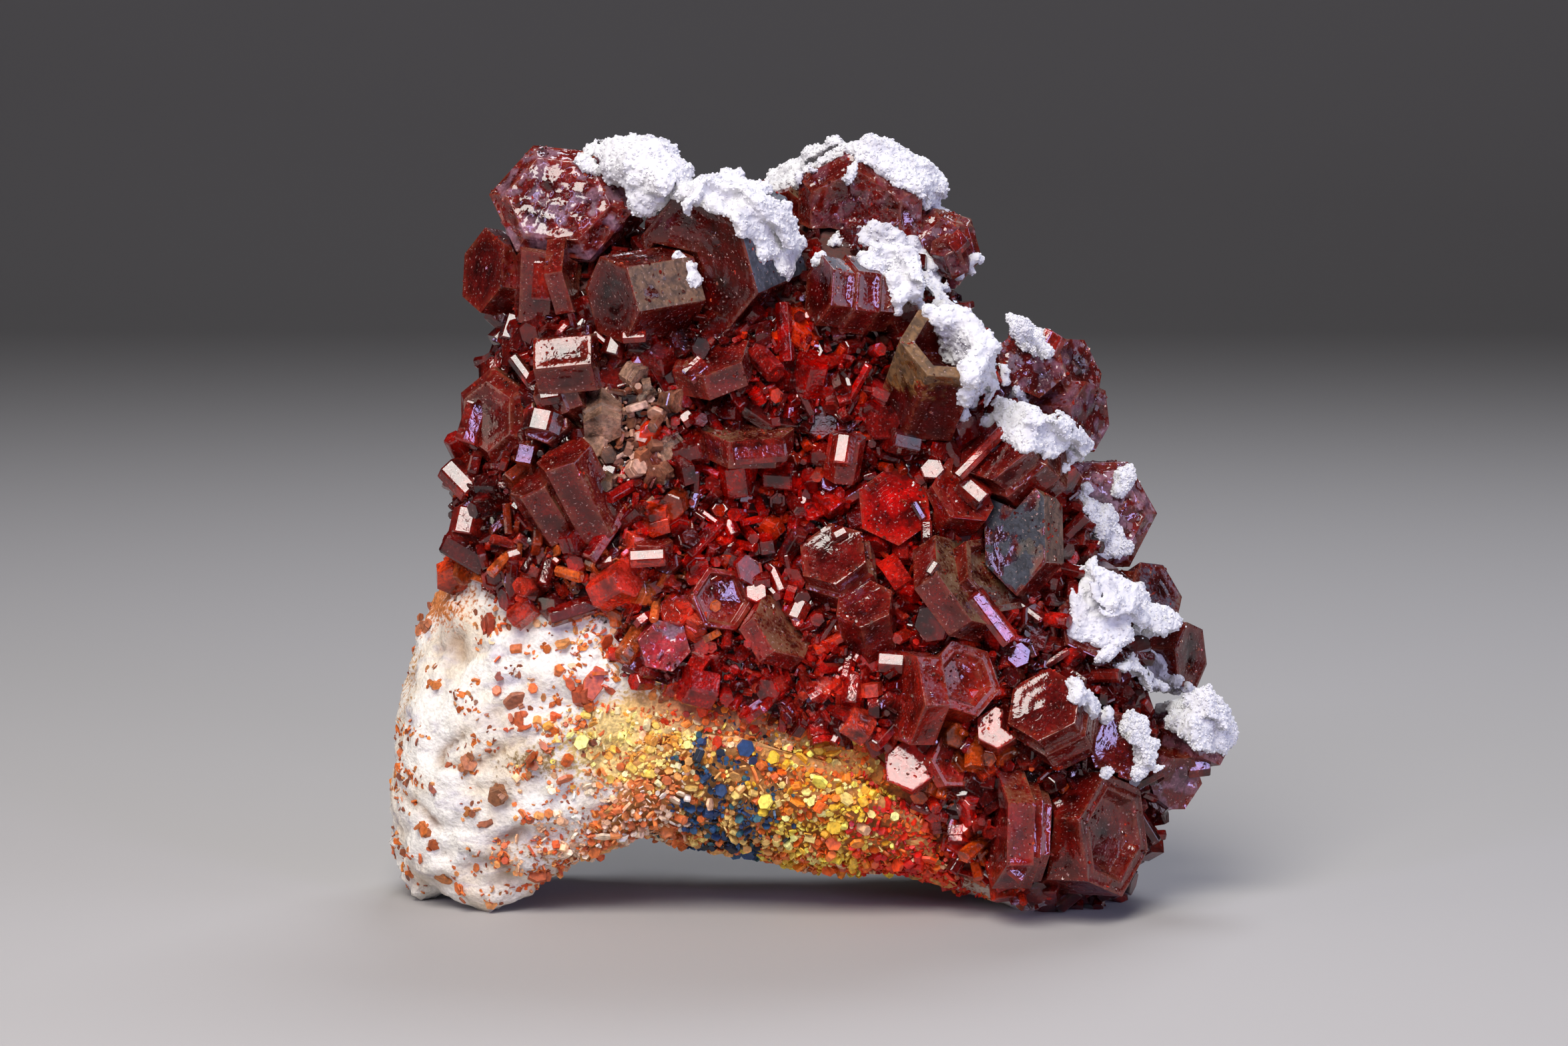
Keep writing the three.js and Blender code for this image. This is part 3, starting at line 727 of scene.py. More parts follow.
class ShapeBook:
    """Models each small crystal once and keeps it for copying."""

    BEVEL = 0.09

    def __init__(self) -> None:
        """Model every habit."""
        self.shapes: dict[Habit, Shape] = {
            Habit.TABLET: self._column(0.5, bevel=self.BEVEL),
            Habit.PRISM: self._column(PRISM_HEIGHT, bevel=self.BEVEL),
            Habit.HOPPER: self._column(0.8, recess=0.26),
            Habit.STACK: self._column(0.8, waist=0.86),
            Habit.ROD: self._column(2.8, bevel=self.BEVEL, thin=0.5),
            Habit.SPLINTER: self._column(0.34),
            Habit.GRAIN: self._column(0.9, sides=5, taper=0.7),
        }

    def _column(
        self,
        height: float,
        sides: int = 6,
        bevel: float = 0.0,
        recess: float = 0.0,
        waist: float = 0.0,
        taper: float = 1.0,
        thin: float = 1.0,
    ) -> Shape:
        """Model one column and read it.

        Args:
            height: height in radii.
            sides: number of sides.
            bevel: width of the cut on its end edges.
            recess: depth of the hollow in its upper end.
            waist: size of the middle, where the crystal is a stack of two plates.
            taper: size of the upper end against the lower one.
            thin: radius of the finished column.

        Returns:
            The shape.
        """
        bpy.ops.object.select_all(action="DESELECT")
        bpy.ops.mesh.primitive_cylinder_add(vertices=sides, radius=1.0, depth=height)
        made = bpy.context.object
        bpy.ops.object.mode_set(mode="EDIT")
        self._select_end(made, height / 2)
        if taper != 1.0:
            bpy.ops.transform.resize(value=(taper, taper, 1.0))
        if recess:
            bpy.ops.mesh.inset(thickness=0.24, depth=0.0)
            bpy.ops.mesh.inset(thickness=0.12, depth=-recess)
        if waist:
            bpy.ops.mesh.extrude_region_move(TRANSFORM_OT_translate={"value": (0.0, 0.0, 0.06)})
            bpy.ops.transform.resize(value=(waist, waist, 1.0))
            bpy.ops.mesh.extrude_region_move(TRANSFORM_OT_translate={"value": (0.0, 0.0, 0.1)})
            bpy.ops.mesh.extrude_region_move(TRANSFORM_OT_translate={"value": (0.0, 0.0, 0.03)})
            bpy.ops.transform.resize(value=(0.94 / waist, 0.94 / waist, 1.0))
            bpy.ops.mesh.extrude_region_move(TRANSFORM_OT_translate={"value": (0.0, 0.0, 0.35)})
        if bevel:
            self._select_ends(made, height / 2)
            bpy.ops.mesh.bevel(offset=bevel, segments=1, affect="EDGES")
        bpy.ops.object.mode_set(mode="OBJECT")
        places = places_of(made.data) * MM * (thin, thin, 1.0)
        faces = tuple(tuple(face.vertices) for face in made.data.polygons)
        mesh = made.data
        bpy.data.objects.remove(made)
        bpy.data.meshes.remove(mesh)
        return Shape(places, faces)

    def _select_end(self, target: bpy.types.Object, height: float) -> None:
        """Select the faces at one end of a column in edit mode.

        Args:
            target: the column.
            height: where the end is, in radii above the middle.
        """
        edit = bmesh.from_edit_mesh(target.data)
        for face in edit.faces:
            face.select_set(abs(face.calc_center_median().z - height) < 0.01)
        bmesh.update_edit_mesh(target.data)

    def _select_ends(self, target: bpy.types.Object, height: float) -> None:
        """Select the edges round both ends of a column in edit mode.

        Args:
            target: the column.
            height: where the ends are, in radii from the middle.
        """
        edit = bmesh.from_edit_mesh(target.data)
        for edge in edit.edges:
            edge.select_set(all(abs(abs(v.co.z) - height) < 0.01 for v in edge.verts))
        bmesh.update_edit_mesh(target.data)


class Heap:
    """Many small shapes gathered into one mesh, each with its own colour."""

    def __init__(self, name: str) -> None:
        """Start an empty heap.

        Args:
            name: name for its object.
        """
        self.name = name
        self.places: list[np.ndarray] = []
        self.faces: list[tuple[int, ...]] = []
        self.tints: list[Colour] = []
        self.count = 0

    def add(self, shape: Shape, turn: np.ndarray, centre: Sequence[float], tint: Sequence[float]) -> None:
        """Add a copy of a shape.

        Args:
            shape: the shape to copy.
            turn: three by three matrix that sizes and turns it.
            centre: where its centre goes, in mm.
            tint: its colour, with dustiness in alpha.
        """
        start = self.count
        self.places.append(shape.places @ turn.T + np.asarray(centre))
        self.faces += [tuple(start + i for i in face) for face in shape.faces]
        self.tints += [tuple(tint)] * len(shape.faces)
        self.count += len(shape.places)

    def add_mesh(self, mesh: bpy.types.Mesh, tint: Sequence[float]) -> None:
        """Add a whole mesh in one colour.

        Args:
            mesh: the mesh to add.
            tint: its colour, with dustiness in alpha.
        """
        own = places_of(mesh)
        faces = tuple(tuple(face.vertices) for face in mesh.polygons)
        self.add(Shape(own, faces), np.eye(3), (0, 0, 0), tint)

    def build(self) -> bpy.types.Object:
        """Make the heap's object, flat shaded.

        Returns:
            The object.
        """
        mesh = bpy.data.meshes.new(self.name)
        places = np.concatenate(self.places) * MM
        places[:, 2] = np.maximum(places[:, 2], 0.0)
        mesh.from_pydata(places.tolist(), [], self.faces)
        totals = np.array([len(face) for face in self.faces])
        colours = np.repeat(np.array(self.tints, np.float32), totals, axis=0)
        layer = mesh.color_attributes.new(TINT, "FLOAT_COLOR", "CORNER")
        layer.data.foreach_set("color", colours.ravel())
        mesh.validate()
        return new_object(self.name, mesh)


def turned(axis: np.ndarray, spin: float, size: Sequence[float]) -> np.ndarray:
    """Matrix that sizes a shape and turns its Z to an axis.

    Args:
        axis: where Z goes, one unit long.
        spin: turn about the axis, in radians.
        size: scale across, across and along the shape.

    Returns:
        The three by three matrix.
    """
    other = np.array((1.0, 0.0, 0.0)) if abs(axis[0]) < 0.8 else np.array((0.0, 1.0, 0.0))
    side = np.cross(axis, other)
    side /= np.linalg.norm(side)
    upper = np.cross(axis, side)
    cos, sin = math.cos(spin), math.sin(spin)
    columns = np.stack((side * cos + upper * sin, upper * cos - side * sin, axis), axis=1)
    return columns * np.asarray(size)


@dataclass(frozen=True)
class Grade:
    """One size grade of small crystals."""

    tries: int
    low: float  # mm, smallest radius
    high: float  # mm, largest radius
    gap: float  # spacing as a share of the two radii added
    habits: tuple[Habit, ...]
    lean: float = 1.6  # how far from the surface's normal an axis may lean
    rise: tuple[float, float] = (-0.3, 0.5)  # where the centre sits, in radii above the surface
    stretch: tuple[float, float] = (0.75, 1.3)  # range of heights against the shape's own


class Ground:
    """A surface that small crystals can grow on, sampled evenly."""

    def __init__(
        self,
        source: bpy.types.Object,
        keep: Callable[[np.ndarray, np.ndarray, np.ndarray], np.ndarray] | None = None,
    ) -> None:
        """Read an object's faces as triangles.

        Args:
            source: the object.
            keep: says which triangles count, from the x, y and z of their middles.
        """
        mesh = source.data
        mesh.calc_loop_triangles()
        corners = np.empty(len(mesh.loop_triangles) * 3, np.int32)
        mesh.loop_triangles.foreach_get("vertices", corners)
        self.triangles = places_of(mesh)[corners.reshape(-1, 3)]
        if keep:
            self.triangles = self.triangles[keep(*self.triangles.mean(axis=1).T)]
        a, b, c = self.triangles.transpose(1, 0, 2)
        across = np.cross(b - a, c - a)
        size = np.linalg.norm(across, axis=1)
        self.normals = across / np.maximum(size, 1e-12)[:, None]
        self.areas = size / 2

    def sample(self, count: int, rng: Rng) -> tuple[np.ndarray, np.ndarray]:
        """Draw places on the surface.

        Args:
            count: how many to draw.
            rng: seeded generator.

        Returns:
            Places in mm and the surface's normals there.
        """
        which = rng.choice(len(self.areas), size=count, p=self.areas / self.areas.sum())
        u, v = rng.random(count), rng.random(count)
        over = u + v > 1
        u[over], v[over] = 1 - u[over], 1 - v[over]
        a, b, c = self.triangles[which].transpose(1, 0, 2)
        return a + (b - a) * u[:, None] + (c - a) * v[:, None], self.normals[which]


@dataclass
class Growth:
    """Grows small crystals over a ground, grade by grade. Smaller ones fill what larger ones leave."""

    shapes: ShapeBook
    palette: Palette
    seed: int
    dust: tuple[float, float] = (0.0, 0.3)
    MOST = 30000  # places kept for crystals
    centres: np.ndarray = field(default_factory=lambda: np.empty((Growth.MOST, 3)))
    radii: np.ndarray = field(default_factory=lambda: np.empty(Growth.MOST))
    count: int = 0

    def grow(self, heap: Heap, ground: Ground, grade: Grade, allowed: Callable[..., bool]) -> int:
        """Add one grade of crystals to a heap.

        Args:
            heap: where the crystals go.
            ground: surface they grow on.
            grade: their sizes and habits.
            allowed: says whether a crystal may grow, from its place, the normal there and its radius.

        Returns:
            How many grew.
        """
        rng = np.random.default_rng(self.seed + grade.tries)
        places, normals = ground.sample(grade.tries, rng)
        grown = 0
        for place, normal in zip(places, normals):
            radius = rng.uniform(grade.low, grade.high)
            apart = self.centres[: self.count] - place
            reach = grade.gap * (self.radii[: self.count] + radius)
            if np.any((apart * apart).sum(axis=1) < reach * reach) or not allowed(place, normal, radius):
                continue
            self._place(heap, place, normal, radius, grade, rng)
            self.centres[self.count] = place
            self.radii[self.count] = radius
            self.count += 1
            grown += 1
        return grown

    def _place(
        self,
        heap: Heap,
        place: np.ndarray,
        normal: np.ndarray,
        radius: float,
        grade: Grade,
        rng: Rng,
    ) -> None:
        """Add one crystal with its own habit, lean, proportions and colour.

        Args:
            heap: where it goes.
            place: where it grows, in mm.
            normal: the ground's normal there.
            radius: its radius, in mm.
            grade: its grade.
            rng: seeded generator.
        """
        axis = leaning(normal, grade.lean, rng)
        habit = grade.habits[rng.integers(len(grade.habits))]
        narrow = rng.uniform(0.8, 1.0)
        size = (radius, radius * narrow, radius * rng.uniform(*grade.stretch))
        turn = turned(axis, rng.uniform(0, math.tau), size)
        tint = self.palette.pick(place[0], place[2], rng)
        centre = place + normal * radius * rng.uniform(*grade.rise)
        heap.add(self.shapes.shapes[habit], turn, centre, tint[:3] + (rng.uniform(*self.dust),))


# ---------------------------------------------------------------- the rock


# x and z of the line under which the front has no red crystals.
RED_EDGE = (
    (-33, 27), (-28, 25.5), (-22, 23), (-14, 21.5), (-9, 16.5),
    (-2, 14.5), (4, 12.5), (8, 8), (11, 2), (30, -4),
)


def red_edge(x: float) -> float:
    """Height of the lower edge of the red crystals across the front, in mm."""
    return float(np.interp(x, [p[0] for p in RED_EDGE], [p[1] for p in RED_EDGE]))


@dataclass
class Rock:
    """The barite matrix: one broken block with an arch between its feet."""

    voxel: float = 0.46  # mm
    lumps: float = 0.26  # mm, height of broad lumps
    breaks: float = 0.8  # mm, height of the flat broken faces
    break_size: float = 3.8  # mm across one of them
    chips: float = 0.34  # mm, height of sharp chips
    grit: float = 0.14  # mm
    cracks: float = 0.35  # mm, depth
    foot: float = 0.25  # mm above the ground where the feet stay flat
    covered: float = 44.0  # mm, above this crystals cover the rock all round
    stains: tuple[Patch, ...] = (
        Patch(-5.5, 8.6, 4.2, 5.0, ("#4a4a4c",), 1.1),
        Patch(1.5, 8.4, 5.4, 5.4, ("#dca23c",), 1.3),
        Patch(-12.5, 13.2, 5.5, 3.2, ("#efcf80",), 1.2),
        Patch(8, 7, 4.5, 6.5, ("#b8401c",), 1.4),
        Patch(-20.6, 11.6, 2.2, 1.2, ("#8a6a44",), 0.55),
        Patch(-19, 4.8, 5.0, 1.2, ("#d8a468",), 0.45),
        Patch(-11, 6.4, 6.5, 1.6, ("#c98a5a",), 0.7),
        Patch(-30.5, 18, 1.6, 7, ("#d8a05c",), 0.5),
        Patch(-28.5, 23, 4, 2.2, ("#d67a2c",), 0.8),
        Patch(-6.5, 16.0, 5.0, 1.6, ("#b8502a",), 1.2),
    )
    crystal_side: str = "#4c110b"  # skin of the rock under the red crystals
    earth: str = "#d0a878"  # faint stain low on the back

    def build(self) -> bpy.types.Object:
        """Roughen a copy of the CAD rock and lay its stains.

        Returns:
            The rock's object.
        """
        made = copy_of("matrix", "matrix_rock")
        with_modifier(made, "SUBSURF", levels=1, render_levels=1)
        with_modifier(made, "REMESH", mode="VOXEL", voxel_size=self.voxel * MM, adaptivity=0.0)
        self._roughen(made.data)
        self._stain(made.data)
        bpy.ops.object.shade_smooth()
        return made

    def _roughen(self, mesh: bpy.types.Mesh) -> None:
        """Move the surface in and out by lumps, chips and grit, and keep the feet flat.

        Args:
            mesh: the rock's mesh.
        """
        places, normals = places_of(mesh), normals_of(mesh)
        heights, hollows = np.empty(len(places)), np.empty(len(places), np.float32)
        for i, (x, y, z) in enumerate(places):
            folded = Vector((x * 0.35 + z * 0.2, y * 0.5, z - x * 0.35))
            at = Vector((x, y, z))
            _, seeds = noise.voronoi(at / self.break_size)
            broken = noise.noise_vector(seeds[0] * 4.3).dot(at / self.break_size - seeds[0])
            cracked = soft_step(-0.2, 0.3, noise.noise(at / 5))
            crack = math.exp(-((noise.noise(folded / 4.2) / 0.045) ** 2)) * cracked
            heights[i] = (
                self.lumps * noise.fractal(at / 5.5, 1.0, 2.0, 2)
                + self.breaks * broken
                + self.chips * (noise.ridged_multi_fractal(folded / 2.1, 0.6, 2.2, 4, 1.0, 2.0) - 1.1)
                + self.grit * noise.fractal(at / 0.9, 1.0, 2.2, 3) * 1.6
                - self.cracks * crack
            )
            hollows[i] = 0.5 * crack + 0.3 * soft_step(0.1, 0.5, -heights[i])
        lifted = soft_step(self.foot, 1.6, places[:, 2])
        places += normals * (heights * lifted)[:, None]
        low = places[:, 2] < self.foot
        places[low, 2] = 0.0
        places[:, 2] = np.maximum(places[:, 2], 0.0)
        move_to(mesh, places)
        layer = mesh.attributes.new(HOLLOW, "FLOAT", "POINT")
        layer.data.foreach_set("value", np.clip(hollows, 0, 0.8))

    def _stain(self, mesh: bpy.types.Mesh) -> None:
        """Colour the rock under the crystals red-brown and lay the ochre and black stains on its front.

        Args:
            mesh: the rock's mesh.
        """
        places = places_of(mesh)
        stained = np.zeros((len(places), 4), np.float32)
        skin = np.array(linear(self.crystal_side)[:3])
        spots = [(patch, np.array(linear(patch.colours[0])[:3])) for patch in self.stains]
        for i, (x, y, z) in enumerate(places):
            wander = 1.6 * noise.noise(Vector((x, y, z)) / 2.4)
            deep = y + wander * 1.6 + 1.5 * noise.noise(Vector((x, y, z)) / 0.8)
            above = np.clip((z - red_edge(x) + wander + 0.4) / 1.6, 0, 1)
            crystals = float(above * soft_step(5.5, 2.5, deep))
            crystals = max(crystals, min(1.0, max(0.0, (z - self.covered + wander) / 3)))
            colour, amount = np.zeros(3), 0.0
            if deep < 3:
                for patch, shade in spots:
                    share = patch.share(x + wander, z + wander * 0.6)
                    colour, amount = colour + shade * share, amount + share
            elif z < 8:
                amount = 0.25
                colour = np.array(linear(self.earth)[:3]) * 0.25
            if amount > 1e-3:
                stained[i, :3] = colour / amount
            strength = min(1.0, amount)
            stained[i, :3] = stained[i, :3] * (1 - crystals) + skin * crystals
            stained[i, 3] = max(strength, crystals)
        layer = mesh.color_attributes.new(STAIN, "FLOAT_COLOR", "POINT")
        layer.data.foreach_set("color", stained.ravel())


# ---------------------------------------------------------------- large crystals


class Face(Enum):
    """How the faces of a large crystal have grown."""

    PLAIN = "plain"
    STEPPED = "stepped"
    PITTED = "pitted"


@dataclass(frozen=True)
class Coat:
    """A matt coat of clay or oxide on the faces of one crystal that look a certain way."""

    colour: str
    around: float = 0.0  # degrees round from the front, to the right
    height: float = 0.0  # degrees above level
    spread: float = 40.0  # degrees, how far a face may look away from that
    above: float = 0.0  # mm above the ground
    bare: float = -0.55  # higher leaves more of the face bare

    def share(self, places: np.ndarray, normals: np.ndarray) -> np.ndarray:
        """How much of the coat each place has, from 0 to 1.

        Args:
            places: places on the crystal, in mm.
            normals: normals there.

        Returns:
            A share for each place.
        """
        way = way_to(math.radians(self.around), math.radians(self.height))
        turn = np.degrees(np.arccos(np.clip(normals @ way, -1, 1)))
        outer = ((places - places.mean(0)) * normals).sum(axis=1) > 0.3
        wander = np.array([noise.noise(Vector(p) / 1.3) + 0.5 * noise.noise(Vector(p) / 0.4) for p in places])
        high = soft_step(self.above - 0.4, self.above + 0.4, places[:, 2] + wander * 1.1)
        facing = soft_step(self.spread + 6, self.spread - 6, turn)
        return outer * high * facing * soft_step(self.bare - 0.4, self.bare + 0.4, wander)


@dataclass(frozen=True)
class Grown:
    """One large crystal, or a group grown together, as the CAD gives it."""

    node: str
    tint: str
    face: Face = Face.STEPPED
    dust: float = 1.0
    coats: tuple[Coat, ...] = ()
    plateau_sheen: str = "#80606e"  # lavender-silver sheen painted on the plateaus between the pits

    BEVEL = 0.08  # mm, width of the cut on the edges
    FINE = 0.34  # mm, longest edge of the refined mesh
    STEP = {Face.PLAIN: 0.01, Face.STEPPED: 0.06, Face.PITTED: 0.2}  # mm, height of the relief
    TERRACE = 0.9  # mm across one growth terrace
    PIT = 0.9  # mm across one pit
    PIT_LEVEL = -0.06  # lower makes more of them
    GLOW = 0.6  # mm, how far the painted glow, the brighter colour of the thin edges, reaches
    FLAT = math.radians(3)
    SHARP = math.radians(24)

    def build(self) -> bpy.types.Object:
        """Bevel, refine and roughen a copy of the CAD crystal.

        Returns:
            The crystal's object.
        """
        made = copy_of(self.node, self.node + "_grown")
        select_only(made)
        bpy.ops.object.mode_set(mode="EDIT")
        bpy.ops.mesh.select_all(action="SELECT")
        bpy.ops.mesh.dissolve_limited(angle_limit=self.FLAT)
        bpy.ops.object.mode_set(mode="OBJECT")
        edges = self._edge_points(made.data)
        cut = {"width": self.BEVEL * MM, "segments": 2, "limit_method": "ANGLE", "angle_limit": self.SHARP}
        with_modifier(made, "BEVEL", **cut)
        self._refine(made.data)
        pits = self._relief(made.data, edges)
        fresh = np.array(linear(self.tint, 0.0))
        pitted = self.face is Face.PITTED
        # Pitted crystals take the painted sheen colour on their plateaus; the pits keep the fresh tint.
        skin = np.array(linear(self.plateau_sheen if pitted else self.tint, self.dust))
        colours = skin + (fresh - skin) * pits[:, None]
        for coat in self.coats:
            share = coat.share(places_of(made.data), normals_of(made.data))
            near = np.minimum(1.0, share * 4)[:, None]
            colours[:, :3] += (np.array(linear(coat.colour)[:3]) - colours[:, :3]) * near
            colours[:, 3] = np.where(share > 0.01, 1 + share, colours[:, 3])
        paint_points(made.data, TINT, colours)
        select_only(made)
        bpy.ops.object.shade_smooth_by_angle(angle=math.radians(12 if pitted else 22))
        return made

    def _edge_points(self, mesh: bpy.types.Mesh) -> KDTree:
        """Points along the crystal's sharp edges, for measuring how far a place is from them.

        Args:
            mesh: the crystal's mesh before it is refined.

        Returns:
            The points, in mm, in a search tree.
        """
        work = bmesh.new()
        work.from_mesh(mesh)
        points: list[Vector] = []
        for edge in work.edges:
            if len(edge.link_faces) == 2 and edge.calc_face_angle(0.0) < self.SHARP:
                continue
            start, end = edge.verts[0].co / MM, edge.verts[1].co / MM
            count = max(1, int((end - start).length / 0.12))
            points += [start.lerp(end, i / count) for i in range(count + 1)]
        work.free()
        tree = KDTree(len(points))
        for i, point in enumerate(points):
            tree.insert(point, i)
        tree.balance()
        return tree

    def _refine(self, mesh: bpy.types.Mesh) -> None:
        """Cut every long edge in half until all are fine.

        Args:
            mesh: the crystal's mesh.
        """
        work = bmesh.new()
        work.from_mesh(mesh)
        bmesh.ops.triangulate(work, faces=work.faces[:], ngon_method="BEAUTY")
        for _ in range(6):
            long_edges = [edge for edge in work.edges if edge.calc_length() > self.FINE * MM]
            if not long_edges:
                break
            bmesh.ops.subdivide_edges(work, edges=long_edges, cuts=1)
            bmesh.ops.triangulate(work, faces=[face for face in work.faces if len(face.verts) > 3])
        bmesh.ops.recalc_face_normals(work, faces=work.faces[:])
        work.to_mesh(mesh)
        work.free()

    def _relief(self, mesh: bpy.types.Mesh, edges: KDTree) -> np.ndarray:
        """Sink growth steps or pits into the middle of the faces and mark the rims.

        Args:
            mesh: the refined mesh.
            edges: points along its sharp edges.

        Returns:
            How deep in a pit each place lies, from 0 to 1.
        """
        places, normals = places_of(mesh), normals_of(mesh)
        away = np.array([edges.find(place)[2] for place in places])
        heights, pits = np.empty(len(places)), np.zeros(len(places))
        for i, place in enumerate(places):
            at = Vector(place)
            if self.face is Face.PITTED:
                _, seeds = noise.voronoi(at / self.PIT)
                tilt = noise.noise_vector(seeds[0] * 5.1).dot(at / self.PIT - seeds[0])
                pits[i] = float(noise.noise(seeds[0] * 3.7) + 0.4 * noise.noise(at / 3) > self.PIT_LEVEL)
                heights[i] = tilt * 2.6 - 0.35 * pits[i]
            else:
                level = max(0.0, away[i] - 0.2) / self.TERRACE + 0.6 * noise.noise(at / 1.6)
                heights[i] = -min(3.0, math.floor(level) + min(1.0, (level - math.floor(level)) * 4))
        deep = soft_step(0.0, 0.3, away)
        move_to(mesh, places + normals * (heights * deep * self.STEP[self.face])[:, None])
        rim = mesh.attributes.new(RIM, "FLOAT", "POINT")
        rim.data.foreach_set("value", np.exp(-away / self.GLOW).astype(np.float32))
        return pits


LARGE_CRYSTALS = (
    Grown("crystal_top_left", "#631615", Face.PITTED, 0.4),
    Grown("crystals_left_shoulder", "#570d0b", dust=0.5),
    Grown("crystal_upper_block", "#480706", dust=0.1, coats=(Coat("#7a5a42", 36, 18, 25, bare=-0.2),)),
    Grown(
        "crystal_crown",
        "#400504",
        dust=0.1,
        coats=(Coat("#4c505c", 54, 10, 25), Coat("#3c4350", 29, 65, 20)),
    ),
    Grown("crystals_peak", "#520d0b", Face.PITTED, 0.6, plateau_sheen="#5e3038"),
    Grown("crystals_under_peak", "#4f0808"),
    Grown("crystal_hollow_column", "#470706", coats=(Coat("#7c5832", spread=180, above=39.4),)),
    Grown("crystals_right_shoulder", "#4c0d0d", Face.PITTED, 0.7, plateau_sheen="#6a4856"),
    Grown("crystal_striped", "#550a08"),
    Grown("crystal_right_hexagon", "#541616", Face.PITTED, 0.3),
    Grown(
        "crystal_grey_face",
        "#4f0d0b",
        coats=(Coat("#343842", -20, 10, 34, bare=-0.05), Coat("#7a5c48", 40, 20, 34, bare=-0.2)),
    ),
    Grown("crystals_leaning_plates", "#560b08"),
    Grown("crystals_centre_stack", "#620d0b"),
    Grown("crystal_upper_bar", "#620e0c"),
    Grown("crystal_centre_bar", "#620f0d"),
    Grown("crystal_small_prism", "#810b08"),
    Grown("crystal_bright_red", "#a30806", Face.PLAIN, 0.0),
    Grown("crystal_deep_block", "#700806", Face.STEPPED, 0.2),
    Grown("crystals_left_prisms", "#550b08"),
    Grown("crystal_left_small", "#5c0d0b"),
    Grown("crystal_left_hexagon", "#580d0b", Face.STEPPED, 0.4),
    Grown("crystals_left_columns", "#5a0b08"),
    Grown("crystals_left_edge", "#720f08"),
    Grown("crystal_lower_bar", "#760d0b", Face.PLAIN, 0.3),
    Grown("crystal_lower_hexagon", "#9e272e", Face.PITTED, 0.3),
    Grown("crystal_ring_plate", "#720e0b", Face.PLAIN, 0.5),
    Grown("crystal_leaning_plate", "#7a100d", Face.STEPPED, 0.8),
    Grown("crystals_tall_plates", "#81160d", Face.STEPPED, 0.7),
    Grown("crystal_lower_prism", "#5a0d0b"),
    Grown("crystals_barrel", "#72110e", Face.STEPPED, 0.6),
    Grown("crystal_base_right", "#560b08", Face.STEPPED, 0.3),
    Grown("crystals_pink_plates", "#a31e1a", Face.PLAIN, 0.3),
    Grown("crystal_white_face", "#8e1816", Face.PLAIN, 0.2),
    Grown("crystal_right_flank", "#530e0b"),
    Grown("crystal_right_crest", "#530d0b"),
    Grown("crystal_under_crest", "#4e0b09"),
    Grown("crystals_right_tip", "#4c0d0d", Face.PITTED, 0.5, plateau_sheen="#6a4450"),
    Grown("crystal_right_inner", "#5c0d0b"),
    Grown("crystals_back_top", "#530908"),
    Grown("crystals_back_right", "#550b08"),
    Grown("crystal_back_left", "#5c0b08"),
    Grown("crystal_back_centre", "#700b07"),
)


# ---------------------------------------------------------------- carpets


@dataclass
class Carpet:
    """A carpet of small crystals that stands for one CAD carpet: a rough bed with separate crystals on it."""

    node: str
    name: str
    slot: str
    palette: Palette
    grades: tuple[Grade, ...]
    bed_colour: str
    seed: int
    bed_drop: float = 0.5  # mm, how far the bed lies under the CAD carpet's surface

    CRUMBS_EDGE = 1.3  # share of the crumbs' patch where they take over
    SIDE_GAP = 0.45  # mm from the rock, within which a face must look away from it
    GROUND_GAP = 0.5  # mm

    def build(self, shapes: ShapeBook, blocked: BVHTree, rock: BVHTree) -> bpy.types.Object:
        """Lay the bed and grow the crystals.

        Args:
            shapes: models of the small crystals.
            blocked: the large crystals, which nothing grows inside.
            rock: the rock, whose inner side of the carpet stays bare.

        Returns:
            The carpet's object.
        """
        source = copy_of(self.node, self.name + "_source")
        ground = Ground(source)
        heap = Heap(self.name)
        heap.add_mesh(self._bed(source).data, linear(self.bed_colour, 0.3))

        def allowed(place: np.ndarray, normal: np.ndarray, radius: float) -> bool:
            """Keep off the rock's side, the ground, the large crystals and the crumbs.

            Args:
                place: where a crystal would grow, in mm.
                normal: normal there.
                radius: its radius, in mm; not used here.

            Returns:
                Whether it may.
            """
            at = Vector(place)
            if place[1] < 0 and CRUMBS.share(place[0], place[2]) > self.CRUMBS_EDGE:
                return False
            found, _, _, distance = rock.find_nearest(at)
            if distance < self.SIDE_GAP and (at - found).dot(Vector(normal)) < 0.2 * distance:
                return False
            return place[2] > self.GROUND_GAP and not inside(blocked, at)

        growth = Growth(shapes, self.palette, self.seed)
        for grade in self.grades:
            count = growth.grow(heap, ground, grade, allowed)
            log.info("%s: %d crystals of %.1f to %.1f mm", self.name, count, grade.low, grade.high)
        bpy.data.objects.remove(source)
        return heap.build()

    def _bed(self, source: bpy.types.Object) -> bpy.types.Object:
        """A rough copy of the CAD carpet, sunk a little.

        Args:
            source: the copy, which is changed.

        Returns:
            The same copy.
        """
        with_modifier(source, "SUBSURF", levels=1, render_levels=1, subdivision_type="SIMPLE")
        places, normals = places_of(source.data), normals_of(source.data)
        wobble = np.array([noise.noise(Vector(p) / 1.1) for p in places])
        move_to(source.data, places + normals * (wobble * 0.35 - self.bed_drop)[:, None])
        return source


